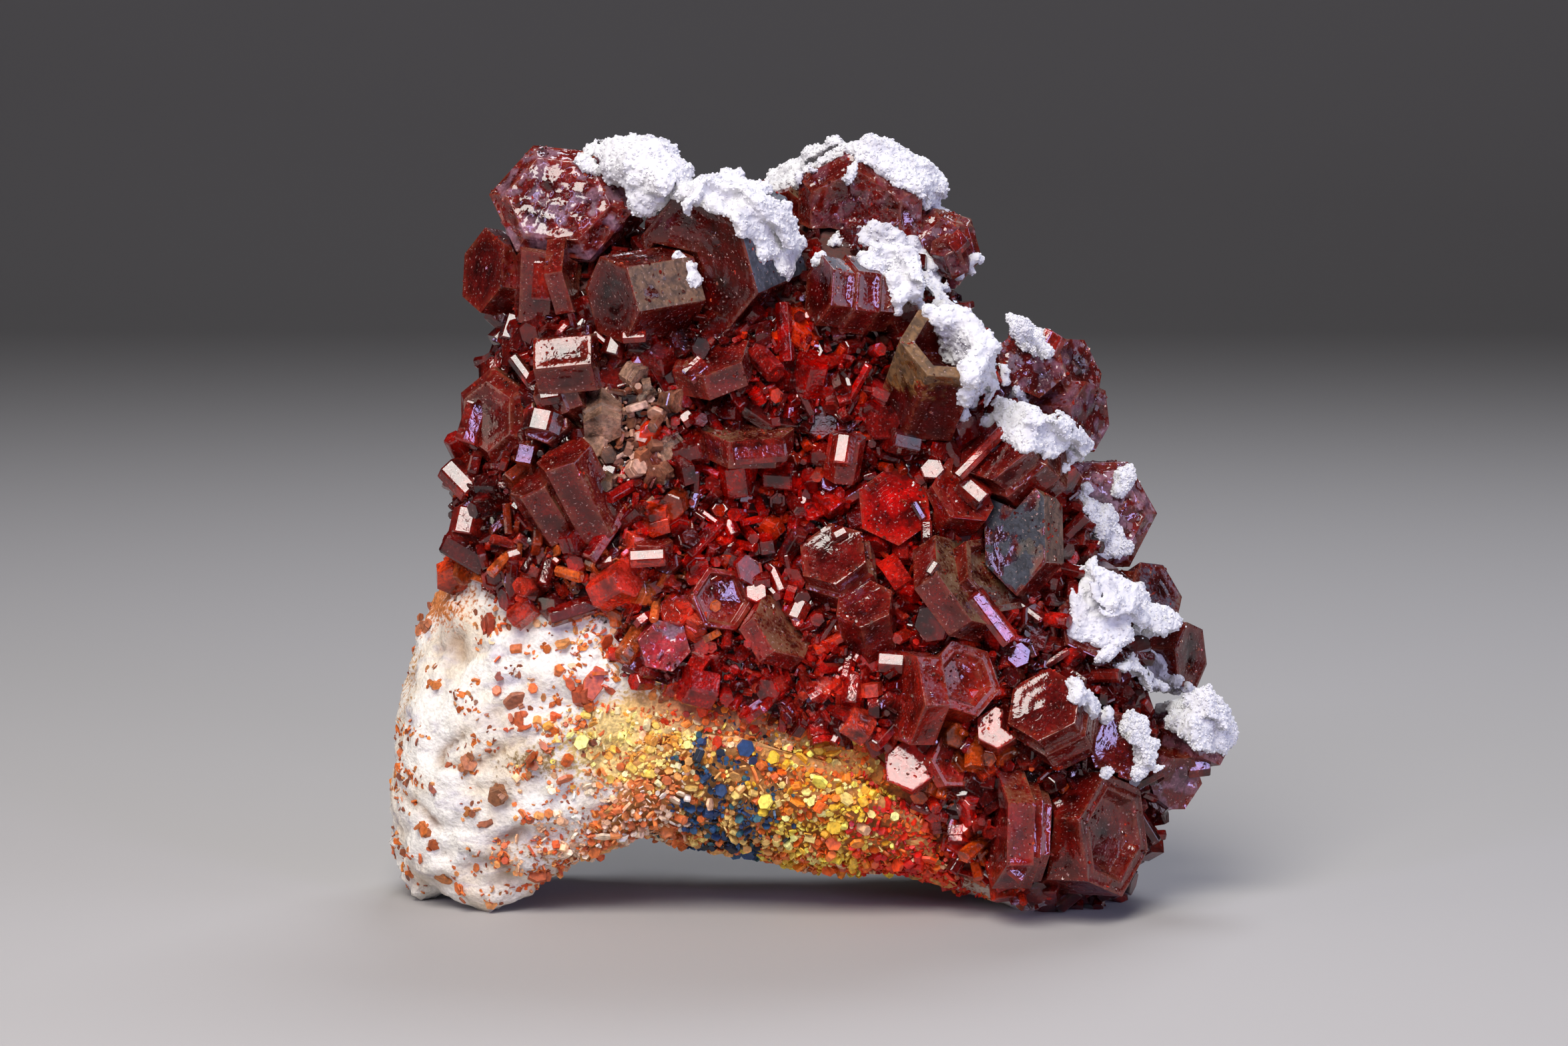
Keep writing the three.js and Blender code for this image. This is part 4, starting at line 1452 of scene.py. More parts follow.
# Small plates that catch the lilac panel, laid out as the faces of BrightFaces are.
LILAC_FACES = (
    (-4.0, 34.7, 0.9, 4.0, 2),
    (-8.4, 40.5, 0.7, 1.7, 40),
    (12.7, 22.7, 0.8, 4.4, -55),
    (-19.2, 46.6, 1.2, 2.8, 84),
    (10.5, 49.3, 0.8, 1.4, 40),
    (-24.8, 36.2, 1.0, 3.0, 70),
    (17.4, 41.9, 1.0, 1.6, 60),
    (28.6, 10.6, 1.0, 1.7, 4),
    (-3.4, 28.4, 0.4, 1.2, 20),
    (7.6, 30.2, 0.35, 1.4, -60),
    (12.1, 7.6, 0.5, 1.4, 10),
    (14.6, 4.4, 0.5, 1.3, -40),
    (-12.8, 19.4, 0.8, 1.4, 60),
    (5.2, 16.6, 0.5, 1.3, 30),
    (-8.6, 31.0, 0.4, 1.2, 70),
    (1.8, 43.0, 0.5, 1.0, 10),
)

ALL_HABITS = (Habit.TABLET, Habit.ROD, Habit.ROD, Habit.PRISM, Habit.HOPPER, Habit.STACK)
FINE_HABITS = (Habit.SPLINTER, Habit.ROD, Habit.ROD, Habit.PRISM)
RED_GRADES = (
    Grade(200, 1.3, 1.7, 0.95, ALL_HABITS),
    Grade(2400, 0.8, 1.2, 0.62, ALL_HABITS),
    Grade(10000, 0.46, 0.78, 0.54, ALL_HABITS + FINE_HABITS),
    Grade(20000, 0.24, 0.45, 0.5, FINE_HABITS),
)
STAINED_GRADES = (
    Grade(120, 0.5, 0.7, 1.2, (Habit.SPLINTER,)),
    Grade(3000, 0.26, 0.42, 0.8, (Habit.SPLINTER, Habit.SPLINTER, Habit.PRISM)),
    Grade(20000, 0.13, 0.25, 0.64, (Habit.GRAIN, Habit.SPLINTER, Habit.SPLINTER)),
)
BACK_GRADES = (
    Grade(160, 1.2, 1.8, 0.9, ALL_HABITS),
    Grade(1200, 0.7, 1.1, 0.66, ALL_HABITS),
    Grade(5000, 0.35, 0.65, 0.56, FINE_HABITS),
)
CARPETS = (
    Carpet("druse_red", "druse_red_crystals", "red_druse", RED_PALETTE, RED_GRADES, "#5a110c", 11),
    Carpet(
        "druse_orange",
        "druse_orange_grains",
        "stained_druse",
        STAINED_PALETTE,
        STAINED_GRADES,
        "#d09550",
        23,
        0.4,
    ),
    Carpet("druse_back", "druse_back_crystals", "red_druse", RED_PALETTE, BACK_GRADES, "#5a110c", 37),
)


@dataclass
class RimDruse:
    """Small crystals on the bare rock between the large ones, thick along the top and thin on the back."""

    name: str = "druse_between_crystals"
    seed: int = 51
    top: float = 43.0  # mm, above this the rock is covered all round
    grades: tuple[Grade, ...] = (
        Grade(600, 1.2, 1.8, 0.85, ALL_HABITS),
        Grade(4000, 0.7, 1.1, 0.66, ALL_HABITS),
        Grade(14000, 0.35, 0.65, 0.58, FINE_HABITS + ALL_HABITS),
        Grade(13000, 0.3, 0.48, 0.52, FINE_HABITS),
    )

    CARPET_GAP = 0.2  # mm
    SPARSE = 0.34  # higher leaves more of the back bare
    BACK_FLOOR = 8  # mm, under which the back is bare

    def build(
        self, shapes: ShapeBook, blocked: BVHTree, carpets: BVHTree, rock: bpy.types.Object
    ) -> bpy.types.Object:
        """Grow the crystals straight on the rock.

        Args:
            shapes: models of the small crystals.
            blocked: the large crystals.
            carpets: the carpets, which already cover their own ground.
            rock: the finished rock.

        Returns:
            The crystals as one object.
        """
        heap = Heap(self.name)
        growth = Growth(shapes, RED_PALETTE, self.seed)

        def allowed(place: np.ndarray, normal: np.ndarray, radius: float) -> bool:
            """Cover the top and the front above the red edge, and scatter a few elsewhere.

            Args:
                place: where a crystal would grow, in mm.
                normal: normal there; not used here.
                radius: its radius, in mm; not used here.

            Returns:
                Whether it may.
            """
            x, y, z = place
            at = Vector(place)
            if z < 1.0 or inside(blocked, at) or inside(carpets, at, self.CARPET_GAP):
                return False
            if z > self.top + 2 * noise.noise(at / 3):
                return True
            if y < 2 + noise.noise(at / 4) * 3:
                return z > red_edge(x) + 0.8 + noise.noise(at / 2)
            return noise.noise(at / 6.5 + Vector((9, 4, 2))) > self.SPARSE and z > self.BACK_FLOOR

        for grade in self.grades:
            growth.grow(heap, Ground(rock), grade, allowed)
        return heap.build()


@dataclass
class Dusting:
    """Tiny late crystals that sit in drifts on the faces of the large ones."""

    name: str = "crystals_tiny_on_faces"
    seed: int = 91
    tries: int = 26000  # over AREA
    size: tuple[float, float] = (0.07, 0.17)  # mm

    AREA = 6000  # mm2
    DRIFT = 0.42  # higher makes fewer and smaller drifts
    SKY = (0.1, -0.5, 0.6)  # way that faces with more of them look
    PROPORTIONS = (1.0, 0.7, 1.4)
    COLOURS = ("#c8301c", "#a01c10", "#d85a34", "#8c3a2c", "#c88470", "#7a1410")

    def build(self, shapes: ShapeBook, large: Sequence[bpy.types.Object]) -> bpy.types.Object:
        """Strew the crystals.

        Args:
            shapes: models of the small crystals.
            large: the large crystals.

        Returns:
            The tiny crystals as one object.
        """
        heap = Heap(self.name)
        rng = np.random.default_rng(self.seed)
        palette = Palette((), self.COLOURS, 1.0, mixed=1.0)
        sky = np.array(self.SKY)
        for one in large:
            ground = Ground(one)
            share = ground.areas.sum() / self.AREA
            for place, normal in zip(*ground.sample(int(self.tries * share), rng)):
                at = Vector(place)
                drift = noise.noise(at / 1.5) + 0.6 * noise.noise(at / 0.5) + 0.5 * normal.dot(sky)
                if drift < self.DRIFT:
                    continue
                axis = leaning(normal, 0.8, rng)
                spin = rng.uniform(0, math.tau)
                turn = turned(axis, spin, np.array(self.PROPORTIONS) * rng.uniform(*self.size))
                tint = palette.pick(place[0], place[2], rng)
                heap.add(shapes.shapes[Habit.SPLINTER], turn, place, tint[:3] + (0.2,))
        return heap.build()


@dataclass
class BrightFaces:
    """Clean prisms whose side faces stand square to the main light and flash white."""

    name: str = "crystals_bright_faces"
    seed: int = 81
    around: float = -8.0  # degrees round from the front
    height: float = 26.0  # degrees above level
    thick: float = 0.7  # thickness against the width
    # x and z of the middle, width and length in mm, and lean of the axis in degrees.
    faces: tuple[tuple[float, float, float, float, float], ...] = (
        (-19.3, 36.6, 1.5, 1.6, 80),
        (-18.8, 38.6, 0.8, 1.4, 10),
        (-12.7, 42.8, 0.5, 1.7, 4),
        (-25.6, 32.0, 1.1, 2.8, -44),
        (-25.0, 29.0, 1.3, 2.0, 82),
        (-11.8, 27.0, 0.8, 2.6, 4),
        (-14.9, 26.6, 0.5, 1.2, 12),
        (-1.0, 23.0, 0.8, 1.5, 70),
        (5.7, 19.4, 0.9, 1.9, -4),
        (2.2, 34.6, 0.9, 2.2, 84),
        (-9.0, 36.9, 0.7, 0.9, 40),
        (12.2, 34.1, 0.5, 4.8, 51),
        (11.6, 31.5, 1.0, 2.2, -42),
        (17.8, 9.0, 0.5, 0.6, 30),
        (-12.0, 16.4, 0.5, 0.8, 20),
        (2.0, 28.6, 0.5, 0.9, 30),
        (-6.4, 30.4, 0.4, 0.8, -50),
        (-21.5, 27.0, 0.5, 0.9, 20),
        (3.8, 40.2, 0.5, 0.6, 60),
        (-14.6, 33.2, 0.6, 0.9, -20),
        (8.6, 26.4, 0.4, 1.0, 60),
    )

    COLOUR = "#a02418"

    def build(self, shapes: ShapeBook, front: BVHTree) -> bpy.types.Object:
        """Stand the prisms on whatever lies foremost.

        Args:
            shapes: models of the small crystals.
            front: the crystals and carpets.

        Returns:
            The prisms as one object.
        """
        heap = Heap(self.name)
        rng = np.random.default_rng(self.seed)
        for x, z, wide, long, lean in self.faces:
            place, _ = foremost(front, x, z)
            if place is None:
                continue
            face = way_to(*(math.radians(v + rng.uniform(-5, 5)) for v in (self.around, self.height)))
            level = np.cross(face, (0, 0, 1))
            level *= -1 / np.linalg.norm(level)
            axis = level * math.cos(math.radians(lean)) + np.cross(face, level) * math.sin(math.radians(lean))
            sides = (face * wide * self.thick, np.cross(axis, face) * wide, axis * long / PRISM_HEIGHT)
            centre = np.array(place) + face * (0.1 + 0.12 * long)
            heap.add(shapes.shapes[Habit.PRISM], np.stack(sides, axis=1), centre, linear(self.COLOUR, 0.0))
        return heap.build()


@dataclass
class StainedFringe:
    """Ochre and orange grains on the rock between the stained carpet, the red druse and the bare block."""

    name: str = "grains_on_rock"
    seed: int = 61
    left: float = -23.5  # mm, where the bare block begins

    CARPET_OVERLAP = 0.4  # mm
    BACK = 4  # mm, behind which there are none

    def build(self, shapes: ShapeBook, covered: BVHTree, rock: bpy.types.Object) -> bpy.types.Object:
        """Grow the grains.

        Args:
            shapes: models of the small crystals.
            covered: the carpets, which have their own crystals.
            rock: the finished rock.

        Returns:
            The grains as one object.
        """
        heap = Heap(self.name)
        growth = Growth(shapes, STAINED_PALETTE, self.seed)

        def allowed(place: np.ndarray, normal: np.ndarray, radius: float) -> bool:
            """Keep to the lower front, thinner towards the left.

            Args:
                place: where a grain would grow, in mm.
                normal: normal there; not used here.
                radius: its radius, in mm; not used here.

            Returns:
                Whether it may.
            """
            x, y, z = place
            at = Vector(place)
            if y > self.BACK or z < 0.8 or z > red_edge(x) + 0.8 or x < self.left:
                return False
            if inside(covered, at, -self.CARPET_OVERLAP):
                return False
            thin = max(0.0, (-10.0 - x) / 11) * (0.35 + 0.65 * min(1.0, abs(z - 5.0) / 2.5))
            return noise.noise(at / 1.7) + 0.5 * noise.noise(at / 0.7) > -0.7 + thin

        ground = Ground(rock, lambda x, y, z: (y < self.BACK) & (z < 25) & (x > self.left) & (x < 14))
        for grade in STAINED_GRADES:
            growth.grow(heap, ground, grade, allowed)
        return heap.build()


@dataclass
class Crumbs:
    """Brown earthy crumbs in the hollow between the crystals of the upper left."""

    name: str = "crumbs_upper_left"
    seed: int = 95
    grades: tuple[Grade, ...] = (
        Grade(500, 0.5, 0.85, 0.7, (Habit.GRAIN, Habit.TABLET, Habit.STACK, Habit.ROD)),
        Grade(5000, 0.22, 0.42, 0.6, (Habit.GRAIN, Habit.SPLINTER, Habit.ROD)),
    )

    def build(self, shapes: ShapeBook, blocked: BVHTree, carpet: bpy.types.Object) -> bpy.types.Object:
        """Grow the crumbs over the bare part of the carpet's bed.

        Args:
            shapes: models of the small crystals.
            blocked: the large crystals.
            carpet: the CAD carpet that they lie on.

        Returns:
            The crumbs as one object.
        """
        heap = Heap(self.name)
        colours = ("#a0705a", "#84543e", "#ba8c74", "#6c3e2e", "#9c5a3c", "#c8a08c")
        growth = Growth(shapes, Palette((), colours, 1.0, vary=(0.7, 1.2), blotch=0.8), self.seed)

        def allowed(place: np.ndarray, normal: np.ndarray, radius: float) -> bool:
            """Keep to the ragged patch."""
            at = Vector(place)
            return CRUMBS.share(place[0], place[2]) > 0.9 + noise.noise(at / 1.5) and not inside(blocked, at)

        ground = Ground(carpet, lambda x, y, z: (y < 0) & (x > -19) & (x < -8) & (z > 28) & (z < 43))
        for grade in self.grades:
            growth.grow(heap, ground, grade, allowed)
        return heap.build()


@dataclass
class Flakes:
    """Loose orange-brown crystals and specks scattered on the bare cream rock."""

    name: str = "flakes_on_rock"
    seed: int = 71
    # x, z and radius of the ones that stand out, with their colour.
    large: tuple[tuple[float, float, float, str], ...] = (
        (-23.6, 21.4, 1.6, "#a03c22"),
        (-15.8, 17.8, 1.7, "#b04e2c"),
        (-21.5, 16.4, 1.2, "#a8684a"),
        (-21.2, 14.9, 1.0, "#b4552c"),
        (-29.6, 10.2, 0.55, "#c2601e"),
        (-25.0, 11.7, 0.9, "#b8744a"),
        (-19.2, 20.2, 0.55, "#c8651e"),
        (-22.9, 9.4, 0.9, "#96603c"),
        (-20.4, 12.4, 1.1, "#b8531e"),
        (-28.6, 6.3, 0.8, "#c06a2e"),
        (-27.8, 5.2, 0.6, "#b85a24"),
        (-27.2, 2.4, 1.0, "#c87838"),
        (-26.0, 1.9, 0.7, "#c06026"),
        (-24.4, 17.6, 0.5, "#c86a22"),
        (-27.6, 17.0, 0.5, "#c4702e"),
        (-28.8, 20.6, 0.9, "#b8704a"),
        (-23.8, 7.2, 0.8, "#a8603c"),
        (-20.2, 2.9, 0.9, "#bc5a2a"),
        (-25.6, 16.6, 0.45, "#c86a22"),
    )

    def build(self, shapes: ShapeBook, rock: bpy.types.Object) -> bpy.types.Object:
        """Scatter the flakes.

        Args:
            shapes: models of the small crystals.
            rock: the finished rock.

        Returns:
            The flakes as one object.
        """
        heap = Heap(self.name)
        tree = surface_tree([rock])
        rng = np.random.default_rng(self.seed)
        for x, z, radius, colour in self.large:
            place, normal = foremost(tree, x, z)
            if place is None:
                continue
            spots = [(np.zeros(3), radius * 0.85)]
            spots += [(rng.normal(size=3) * radius * 0.55, radius * rng.uniform(0.3, 0.55)) for _ in range(4)]
            for shift, size in spots:
                tint = np.array(linear(colour)) * rng.uniform(0.7, 1.3)
                habit = (Habit.TABLET, Habit.STACK, Habit.SPLINTER)[rng.integers(3)]
                spread = np.array(place) + shift - np.array(normal) * np.dot(shift, normal)
                self._lay(heap, shapes.shapes[habit], spread, np.array(normal), size, tint, rng, 0.45)
        palette = Palette((), ("#c8641e", "#b8561e", "#cf7c34", "#a8502a", "#d08a50", "#8c4a2a"), 1.0)
        ground = Ground(rock)
        for count, low, high in ((560, 0.28, 0.5), (2600, 0.12, 0.27)):
            places, normals = ground.sample(count * 6, rng)
            for place, normal in zip(places, normals):
                x, y, z = place
                front = y < 3 and z < red_edge(x) - 0.3
                crowd = noise.noise(Vector(place) / 2.6) + (0.25 if front else -0.08)
                crowd += 0.15 if x > -19 and front else 0
                if z < 0.6 or crowd < 0.34 or (not front and z > 40):
                    continue
                radius = rng.uniform(low, high)
                tint = palette.pick(x, z, rng)
                self._lay(heap, shapes.shapes[Habit.SPLINTER], place, normal, radius, tint, rng, 0.5)
        return heap.build()

    def _lay(
        self,
        heap: Heap,
        shape: Shape,
        place: np.ndarray,
        normal: np.ndarray,
        radius: float,
        tint: Sequence[float],
        rng: Rng,
        lean: float,
    ) -> None:
        """Lay one flake nearly flat on the rock.

        Args:
            heap: where it goes.
            shape: its shape.
            place: where it lies, in mm.
            normal: the rock's normal there.
            radius: its radius, in mm.
            tint: its colour.
            rng: seeded generator.
            lean: how far it may lean from flat.
        """
        axis = leaning(normal, lean, rng)
        size = (radius, radius * rng.uniform(0.45, 0.95), radius * rng.uniform(0.6, 1.0))
        heap.add(shape, turned(axis, rng.uniform(0, math.tau), size), place, tuple(tint[:3]) + (0.4,))


# ---------------------------------------------------------------- white crust


@dataclass(frozen=True)
class Slab:
    """A thin slab of crust seen from the front: an ellipse that lies on whatever is foremost. Sizes in mm."""

    x: float
    z: float
    long: float
    wide: float
    lean: float  # degrees, to the left of level

    DENSITY = 70  # tries for each square millimetre of half length by half width
    REACH = 1.25  # how far the ragged outline may reach, in half lengths
    DEPTH = 3.0  # mm, how far behind the middle a place may lie

    def places(self, around: BVHTree, rng: Rng) -> list[np.ndarray]:
        """Places all over the slab, on the faces that it covers.

        Args:
            around: what the slab lies on.
            rng: seeded generator.

        Returns:
            The places, in mm.
        """
        lean = math.radians(self.lean)
        found: list[np.ndarray] = []
        for _ in range(int(self.long * self.wide * self.DENSITY)):
            u, v = rng.uniform(-self.REACH, self.REACH, 2)
            x = self.x + u * self.long * math.cos(lean) - v * self.wide * math.sin(lean)
            z = self.z + u * self.long * math.sin(lean) + v * self.wide * math.cos(lean)
            if u * u + v * v > 1 + 0.6 * noise.noise(Vector((x / 0.8, 0.0, z / 0.8))):
                continue
            place, _ = foremost(around, x, z)
            if place is not None:
                found.append(np.array(place) + (0.0, -0.15, 0.1))
        if not found:
            return found
        middle = float(np.median([place[1] for place in found]))
        return [place for place in found if place[1] < middle + self.DEPTH]


@dataclass
class Crust:
    """A patch of sugary white crust: lumps and thin slabs on the faces that look up, with grains on them."""

    node: str
    seed: int
    slabs: tuple[Slab, ...] = ()
    clumps: tuple[tuple[float, float, float, float], ...] = ()  # x, y, z and radius of piled lumps, mm
    sink: float = 1.2  # mm, how much smaller the lumps are than the CAD's
    voxel: float = 0.17  # mm
    reach: float = 0.9  # mm, how far the skin spreads from the lumps over the crystals
    skin_tries: int = 5000
    skin: tuple[float, float] = (0.38, 0.62)  # mm, radii of the blobs that make the skin
    grains: int = 1100
    grain: tuple[float, float] = (0.06, 0.16)  # mm
    sky: tuple[float, float, float] = (0.5, -0.25, 0.8)  # way that the crusted faces look

    def build(self, shapes: ShapeBook, around: BVHTree) -> bpy.types.Object:
        """Plaster the skin, roughen it and strew grains.

        Args:
            shapes: models of the small crystals.
            around: the crystals and rock that the crust lies on.

        Returns:
            The crust's object.
        """
        rng = np.random.default_rng(self.seed)
        lumps = copy_of(self.node, self.node + "_lumps")
        lump_tree = surface_tree([lumps])
        places, normals = places_of(lumps.data), normals_of(lumps.data)
        low, high = places.min(0) - self.reach, places.max(0) + self.reach
        move_to(lumps.data, places - normals * self.sink)
        body = Heap(self.node + "_body")
        body.add_mesh(lumps.data, (1, 1, 1, 1))
        self._plaster(body, shapes, (lump_tree, around), (low, high), rng)
        for slab in self.slabs:
            for place in slab.places(around, rng):
                self._blob(body, shapes, place, rng.uniform(*self.skin), rng)
        for x, y, z, radius in self.clumps:
            for _ in range(int(30 * radius**3)):
                way = rng.normal(size=3)
                place = np.array((x, y, z)) + way / np.linalg.norm(way) * (radius - 0.4) * rng.random() ** 0.4
                self._blob(body, shapes, place, rng.uniform(0.5, 0.8), rng)
        skin = body.build()
        with_modifier(skin, "REMESH", mode="VOXEL", voxel_size=self.voxel * MM, adaptivity=0.0)
        with_modifier(skin, "SMOOTH", factor=0.5, iterations=4)
        places, normals = places_of(skin.data), normals_of(skin.data)
        heights = np.array([self._height(Vector(place)) for place in places])
        move_to(skin.data, places + normals * heights[:, None])
        heap = Heap(self.node + "_sugar")
        heap.add_mesh(skin.data, (1, 1, 1, 1))
        for place in Ground(skin).sample(self.grains, rng)[0]:
            self._blob(heap, shapes, place, rng.uniform(*self.grain), rng)
        for spare in (lumps, skin):
            bpy.data.objects.remove(spare)
        return heap.build()

    def _plaster(
        self,
        body: Heap,
        shapes: ShapeBook,
        trees: tuple[BVHTree, BVHTree],
        box: tuple[np.ndarray, np.ndarray],
        rng: Rng,
    ) -> None:
        """Lay blobs side by side on the upward faces round the lumps.

        Args:
            body: heap that takes the blobs.
            shapes: models of the small crystals.
            trees: the lumps, and what the crust lies on.
            box: corners of the space that is tried.
            rng: seeded generator.
        """
        lumps, around = trees
        sky = Vector(self.sky).normalized()
        for tried in rng.uniform(box[0], box[1], size=(self.skin_tries, 3)):
            place, normal, _, distance = around.find_nearest(Vector(tried))
            if place is None or distance > 1.2 or normal.dot(sky) < 0.3:
                continue
            spread = self.reach * (0.55 + 0.9 * noise.noise(place / 1.7))
            if not inside(lumps, place, spread):
                continue
            self._blob(body, shapes, np.array(place), rng.uniform(*self.skin), rng)

    def _height(self, at: Vector) -> float:
        """Relief of the skin at a place, in mm: small nodules with creases between them."""
        nodules = 0.3 - 0.55 * noise.voronoi(at / 0.75)[0][0]
        return 0.28 * nodules + 0.1 * noise.noise(at / 1.6) + 0.1 * noise.noise(at / 0.35)

    def _blob(self, heap: Heap, shapes: ShapeBook, place: np.ndarray, radius: float, rng: Rng) -> None:
        """Add one grain or blob, turned at random."""
        turn = turned(leaning(0.0, 1.0, rng), rng.uniform(0, math.tau), (radius,) * 3)
        heap.add(shapes.shapes[Habit.GRAIN], turn, place, (1, 1, 1, 1))


CRUSTS = (
    Crust(
        "crust_top_left",
        101,
        clumps=(
            (-11.7, -7.8, 54.7, 2.4),
            (-13.5, -6.8, 55.2, 1.9),
            (-11.0, -8.6, 53.4, 1.6),
            (-12.1, -8.6, 52.5, 1.3),
            (-10.2, -8.8, 54.4, 1.5),
        ),
        sink=0.8,
    ),
    Crust("crust_crown", 102, (Slab(-7.8, 53.5, 3.0, 0.8, 4), Slab(-3.5, 51.0, 3.3, 1.5, -52)), sink=1.5),
    Crust("crust_peak_left", 103, (Slab(-0.6, 55.4, 2.6, 1.3, 35), Slab(-1.6, 54.6, 2.6, 1.0, 22)), sink=0.8),
    Crust("crust_peak", 104, (Slab(6.3, 55.0, 5.1, 1.2, -38),), sink=1.1),
    Crust("crust_under_peak", 105, (Slab(3.6, 49.6, 2.3, 0.5, 8), Slab(6.9, 48.3, 2.9, 1.0, -38))),
    Crust(
        "crust_ridge",
        106,
        (
            Slab(10.6, 44.7, 3.1, 1.9, -35),
            Slab(12.5, 41.0, 3.8, 1.8, -60),
            Slab(11.3, 39.6, 2.0, 0.8, 90),
            Slab(10.7, 43.2, 2.3, 1.4, 80),
        ),
    ),
    Crust("crust_shoulder", 107, (Slab(12.8, 46.6, 1.4, 0.7, 85), Slab(15.0, 43.5, 3.0, 1.1, -40))),
    Crust("crust_striped", 108, (Slab(16.6, 36.2, 3.2, 1.7, -14), Slab(14.2, 38.0, 1.6, 0.9, -40)), sink=1.3),
    Crust(
        "crust_hexagon",
        109,
        (Slab(21.1, 28.1, 2.6, 1.3, -52), Slab(23.0, 31.6, 0.9, 0.5, 60)),
        sink=0.8,
        reach=0.3,
    ),
    Crust(
        "crust_right_upper",
        110,
        (Slab(22.3, 22.4, 3.8, 2.1, -25), Slab(20.0, 25.0, 1.9, 1.1, -60), Slab(26.6, 20.8, 2.0, 0.7, -22)),
        sink=1.5,
    ),
    Crust(
        "crust_right_lower",
        111,
        (Slab(20.2, 16.4, 2.4, 0.6, -45), Slab(24.9, 16.6, 3.5, 1.6, -30)),
        sink=1.4,
    ),
    Crust("crust_tip", 112, (Slab(29.4, 12.8, 1.9, 1.3, -20),)),
    Crust("crust_inner_patch", 113, (Slab(24.2, 12.9, 2.6, 0.8, -66),), sink=1.3, reach=0.3),
)


# ---------------------------------------------------------------- studio


@dataclass
class Softbox:
    """One rectangular light that looks at the specimen."""

    name: str
    around: float  # degrees round from the front, to the right
    height: float  # degrees above level
    distance: float  # mm
    wide: float  # mm
    tall: float  # mm
    watts: float
    colour: str

    def build(self, aim: Vector) -> bpy.types.Object:
        """Hang the light.

        Args:
            aim: what it looks at, in metres.

        Returns:
            The light's object.
        """
        light = bpy.data.lights.new(self.name, "AREA")
        light.shape = "RECTANGLE"
        light.size, light.size_y = self.wide * MM, self.tall * MM
        light.energy = self.watts
        light.color = linear(self.colour)[:3]
        made = bpy.data.objects.new(self.name, light)
        bpy.context.scene.collection.objects.link(made)
        away = Vector(way_to(math.radians(self.around), math.radians(self.height)))
        made.location = aim + away * self.distance * MM
        made.rotation_euler = (-away).to_track_quat("-Z", "Y").to_euler()
        return made


@dataclass
class Studio:
    """Pale floor, soft lights and the camera."""

    aim: tuple[float, float, float] = (-2.05, 1.4, 28.1)  # mm
    camera_distance: float = 326.0  # mm
    camera_height: float = 6.0  # degrees
    lens: float = 100.0  # mm
    floor_colour: str = "#acaaa7"
    surround: float = 0.05
    lights: tuple[Softbox, ...] = (
        Softbox("key", -16, 46, 420, 230, 230, 2.1, "#fffaf4"),
        Softbox("front_soft", -8, 24, 700, 200, 120, 0.22, "#ece6ff"),
        Softbox("lilac_panel", 36, 10, 520, 100, 140, 0.62, "#c4baff"),
        Softbox("left_strip", -42, 20, 480, 50, 220, 0.36, "#cdc2ff"),
        Softbox("right_panel", 70, 14, 440, 220, 300, 0.5, "#cfdcff"),
        Softbox("back_rim", 160, 58, 450, 220, 160, 1.0, "#eef2ff"),
        Softbox("left_low", -72, 10, 480, 200, 200, 0.22, "#fff4e6"),
    )

    def build(self) -> None:
        """Lay the floor, hang the lights and set the camera."""
        aim = Vector(self.aim) * MM
        self._floor()
        for light in self.lights:
            light.build(aim)
        camera = bpy.data.objects.new("camera", bpy.data.cameras.new("camera"))
        camera.data.lens = self.lens
        camera.data.sensor_width = 36.0
        camera.data.clip_start = 0.01
        away = Vector(way_to(0.0, math.radians(self.camera_height)))
        camera.location = aim + away * self.camera_distance * MM
        camera.rotation_euler = (-away).to_track_quat("-Z", "Y").to_euler()
        bpy.context.scene.collection.objects.link(camera)
        bpy.context.scene.camera = camera
        world = bpy.data.worlds.new("studio")
        world.use_nodes = True
        background = world.node_tree.nodes["Background"]
        background.inputs["Color"].default_value = linear("#e9ebf5")
        background.inputs["Strength"].default_value = self.surround
        bpy.context.scene.world = world
        bpy.context.scene.view_settings.view_transform = "Standard"

    def _floor(self) -> None:
        """A pale seamless sweep that curves up behind the specimen."""
        profile = [(-2.0, 0.0), (0.7, 0.0)]
        turns = np.linspace(0.1, math.pi / 2, 14)
        profile += [(0.7 + 0.5 * math.sin(t), 0.5 - 0.5 * math.cos(t)) for t in turns]
        profile += [(1.2, 3.0)]
        mesh = bpy.data.meshes.new("studio_floor")
        places = [(x, y, z) for y, z in profile for x in (-3.0, 3.0)]
        faces = [(2 * i, 2 * i + 1, 2 * i + 3, 2 * i + 2) for i in range(len(profile) - 1)]
        mesh.from_pydata(places, [], faces)
        mesh.shade_smooth()
        floor = new_object("studio_floor", mesh)
        material, add, _ = new_material("studio_paper")
        shader = add("BsdfPrincipled", {"Base Color": linear(self.floor_colour), "Roughness": 0.7})
        add("OutputMaterial", {"Surface": shader})
        mesh.materials.append(material)


# ---------------------------------------------------------------- assembly


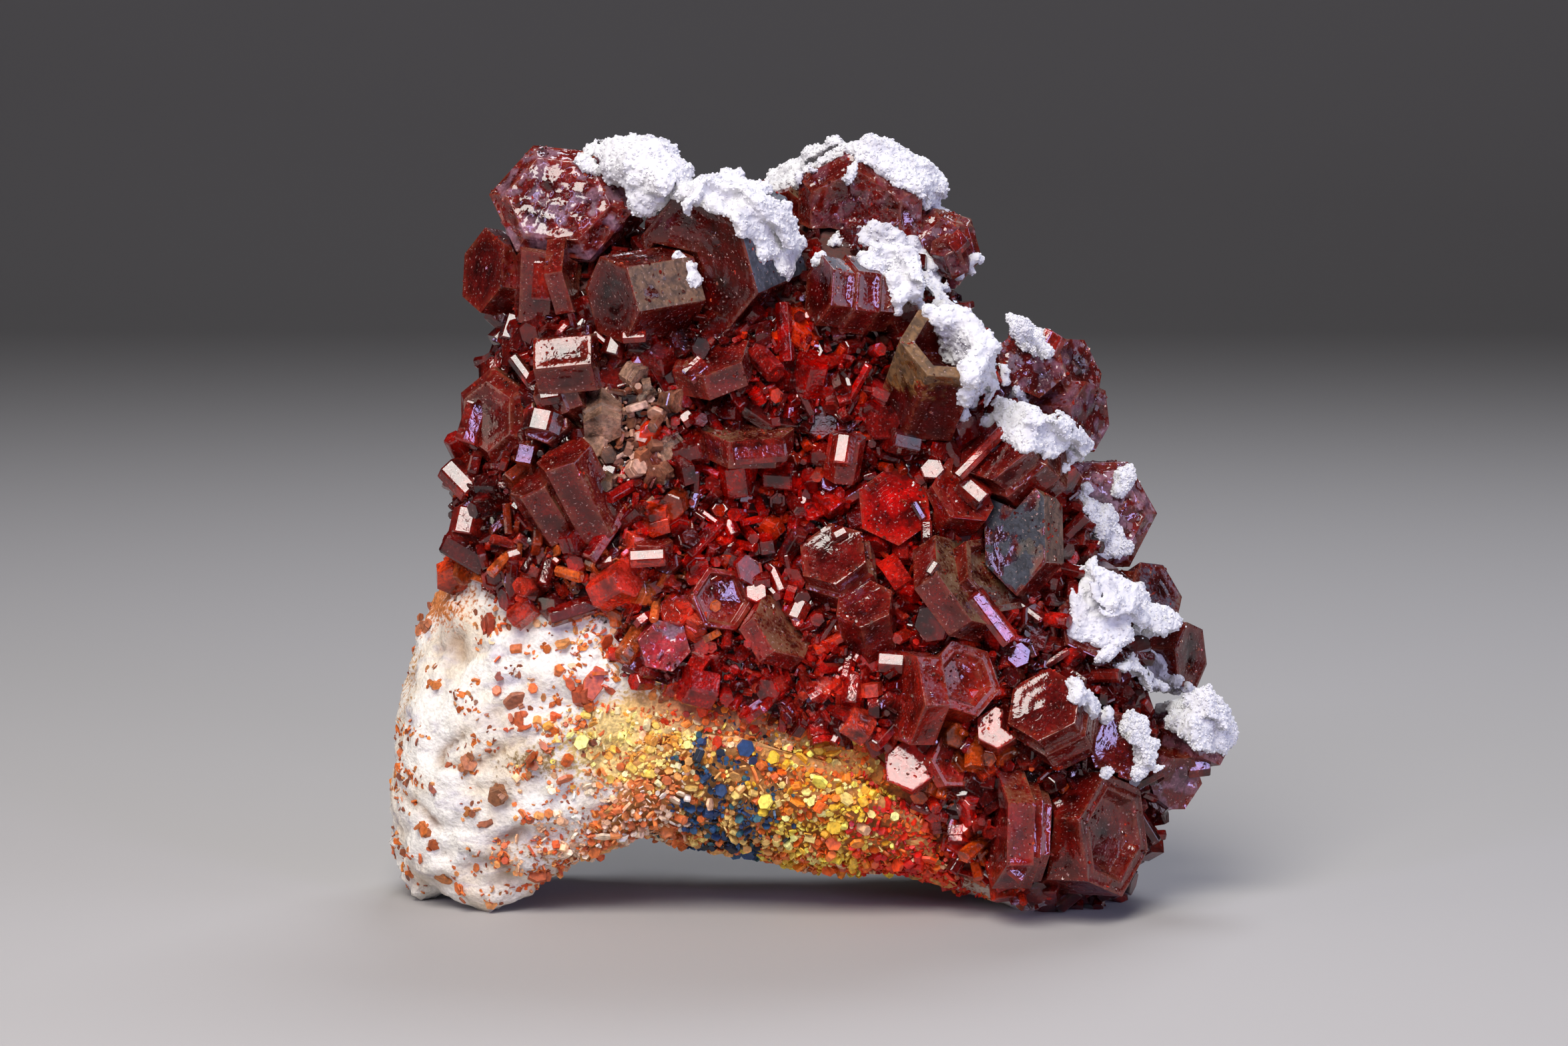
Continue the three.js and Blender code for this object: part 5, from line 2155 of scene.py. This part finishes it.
def main() -> None:
    """Build every piece in order, from the rock outwards."""
    logging.basicConfig(level=logging.INFO, format="%(message)s")
    noise.seed_set(NOISE_SEED)
    shapes = ShapeBook()
    vanadinite = Vanadinite("vanadinite_large_crystals", 0.3, 0.2).material()
    small_vanadinite = Vanadinite("vanadinite_druse", 0.65, 0.06).material()
    barite = Barite().material()
    grains = Grains().material()
    crust = SugaryCrust().material()
    slots = {row["node"]: row["material_slot"] for row in frame["record"]["subparts"]}

    rock = Rock().build()
    finish_piece(rock, barite, "matrix", ["matrix"])

    large = []
    for crystal in LARGE_CRYSTALS:
        piece = crystal.build()
        finish_piece(piece, vanadinite, slots[crystal.node], [crystal.node])
        large.append(piece)
    blocked = surface_tree([frame["nodes"][crystal.node] for crystal in LARGE_CRYSTALS])
    rock_tree = surface_tree([frame["nodes"]["matrix"]])
    carpet_tree = surface_tree([frame["nodes"][carpet.node] for carpet in CARPETS])
    front = surface_tree([frame["nodes"][part.node] for part in LARGE_CRYSTALS + CARPETS])

    for carpet in CARPETS:
        piece = carpet.build(shapes, blocked, rock_tree)
        finish = grains if carpet.slot == "stained_druse" else small_vanadinite
        finish_piece(piece, finish, carpet.slot, [carpet.node])
    finish_piece(RimDruse().build(shapes, blocked, carpet_tree, rock), small_vanadinite, "red_druse")
    finish_piece(BrightFaces().build(shapes, front), small_vanadinite, "red_druse")
    lilac = BrightFaces("crystals_lilac_faces", 82, 18.0, 8.0, 0.3, LILAC_FACES)
    finish_piece(lilac.build(shapes, front), small_vanadinite, "red_druse")
    finish_piece(Dusting().build(shapes, large), small_vanadinite, "red_druse")
    finish_piece(StainedFringe().build(shapes, carpet_tree, rock), grains, "stained_druse")
    finish_piece(Crumbs().build(shapes, blocked, frame["nodes"]["druse_red"]), grains, "stained_druse")
    finish_piece(Flakes().build(shapes, rock), grains, "stained_druse")

    around = surface_tree(large + [rock])
    for patch in CRUSTS:
        finish_piece(patch.build(shapes, around), crust, "crust", [patch.node])

    Studio().build()


if __name__ == "__main__":
    main()
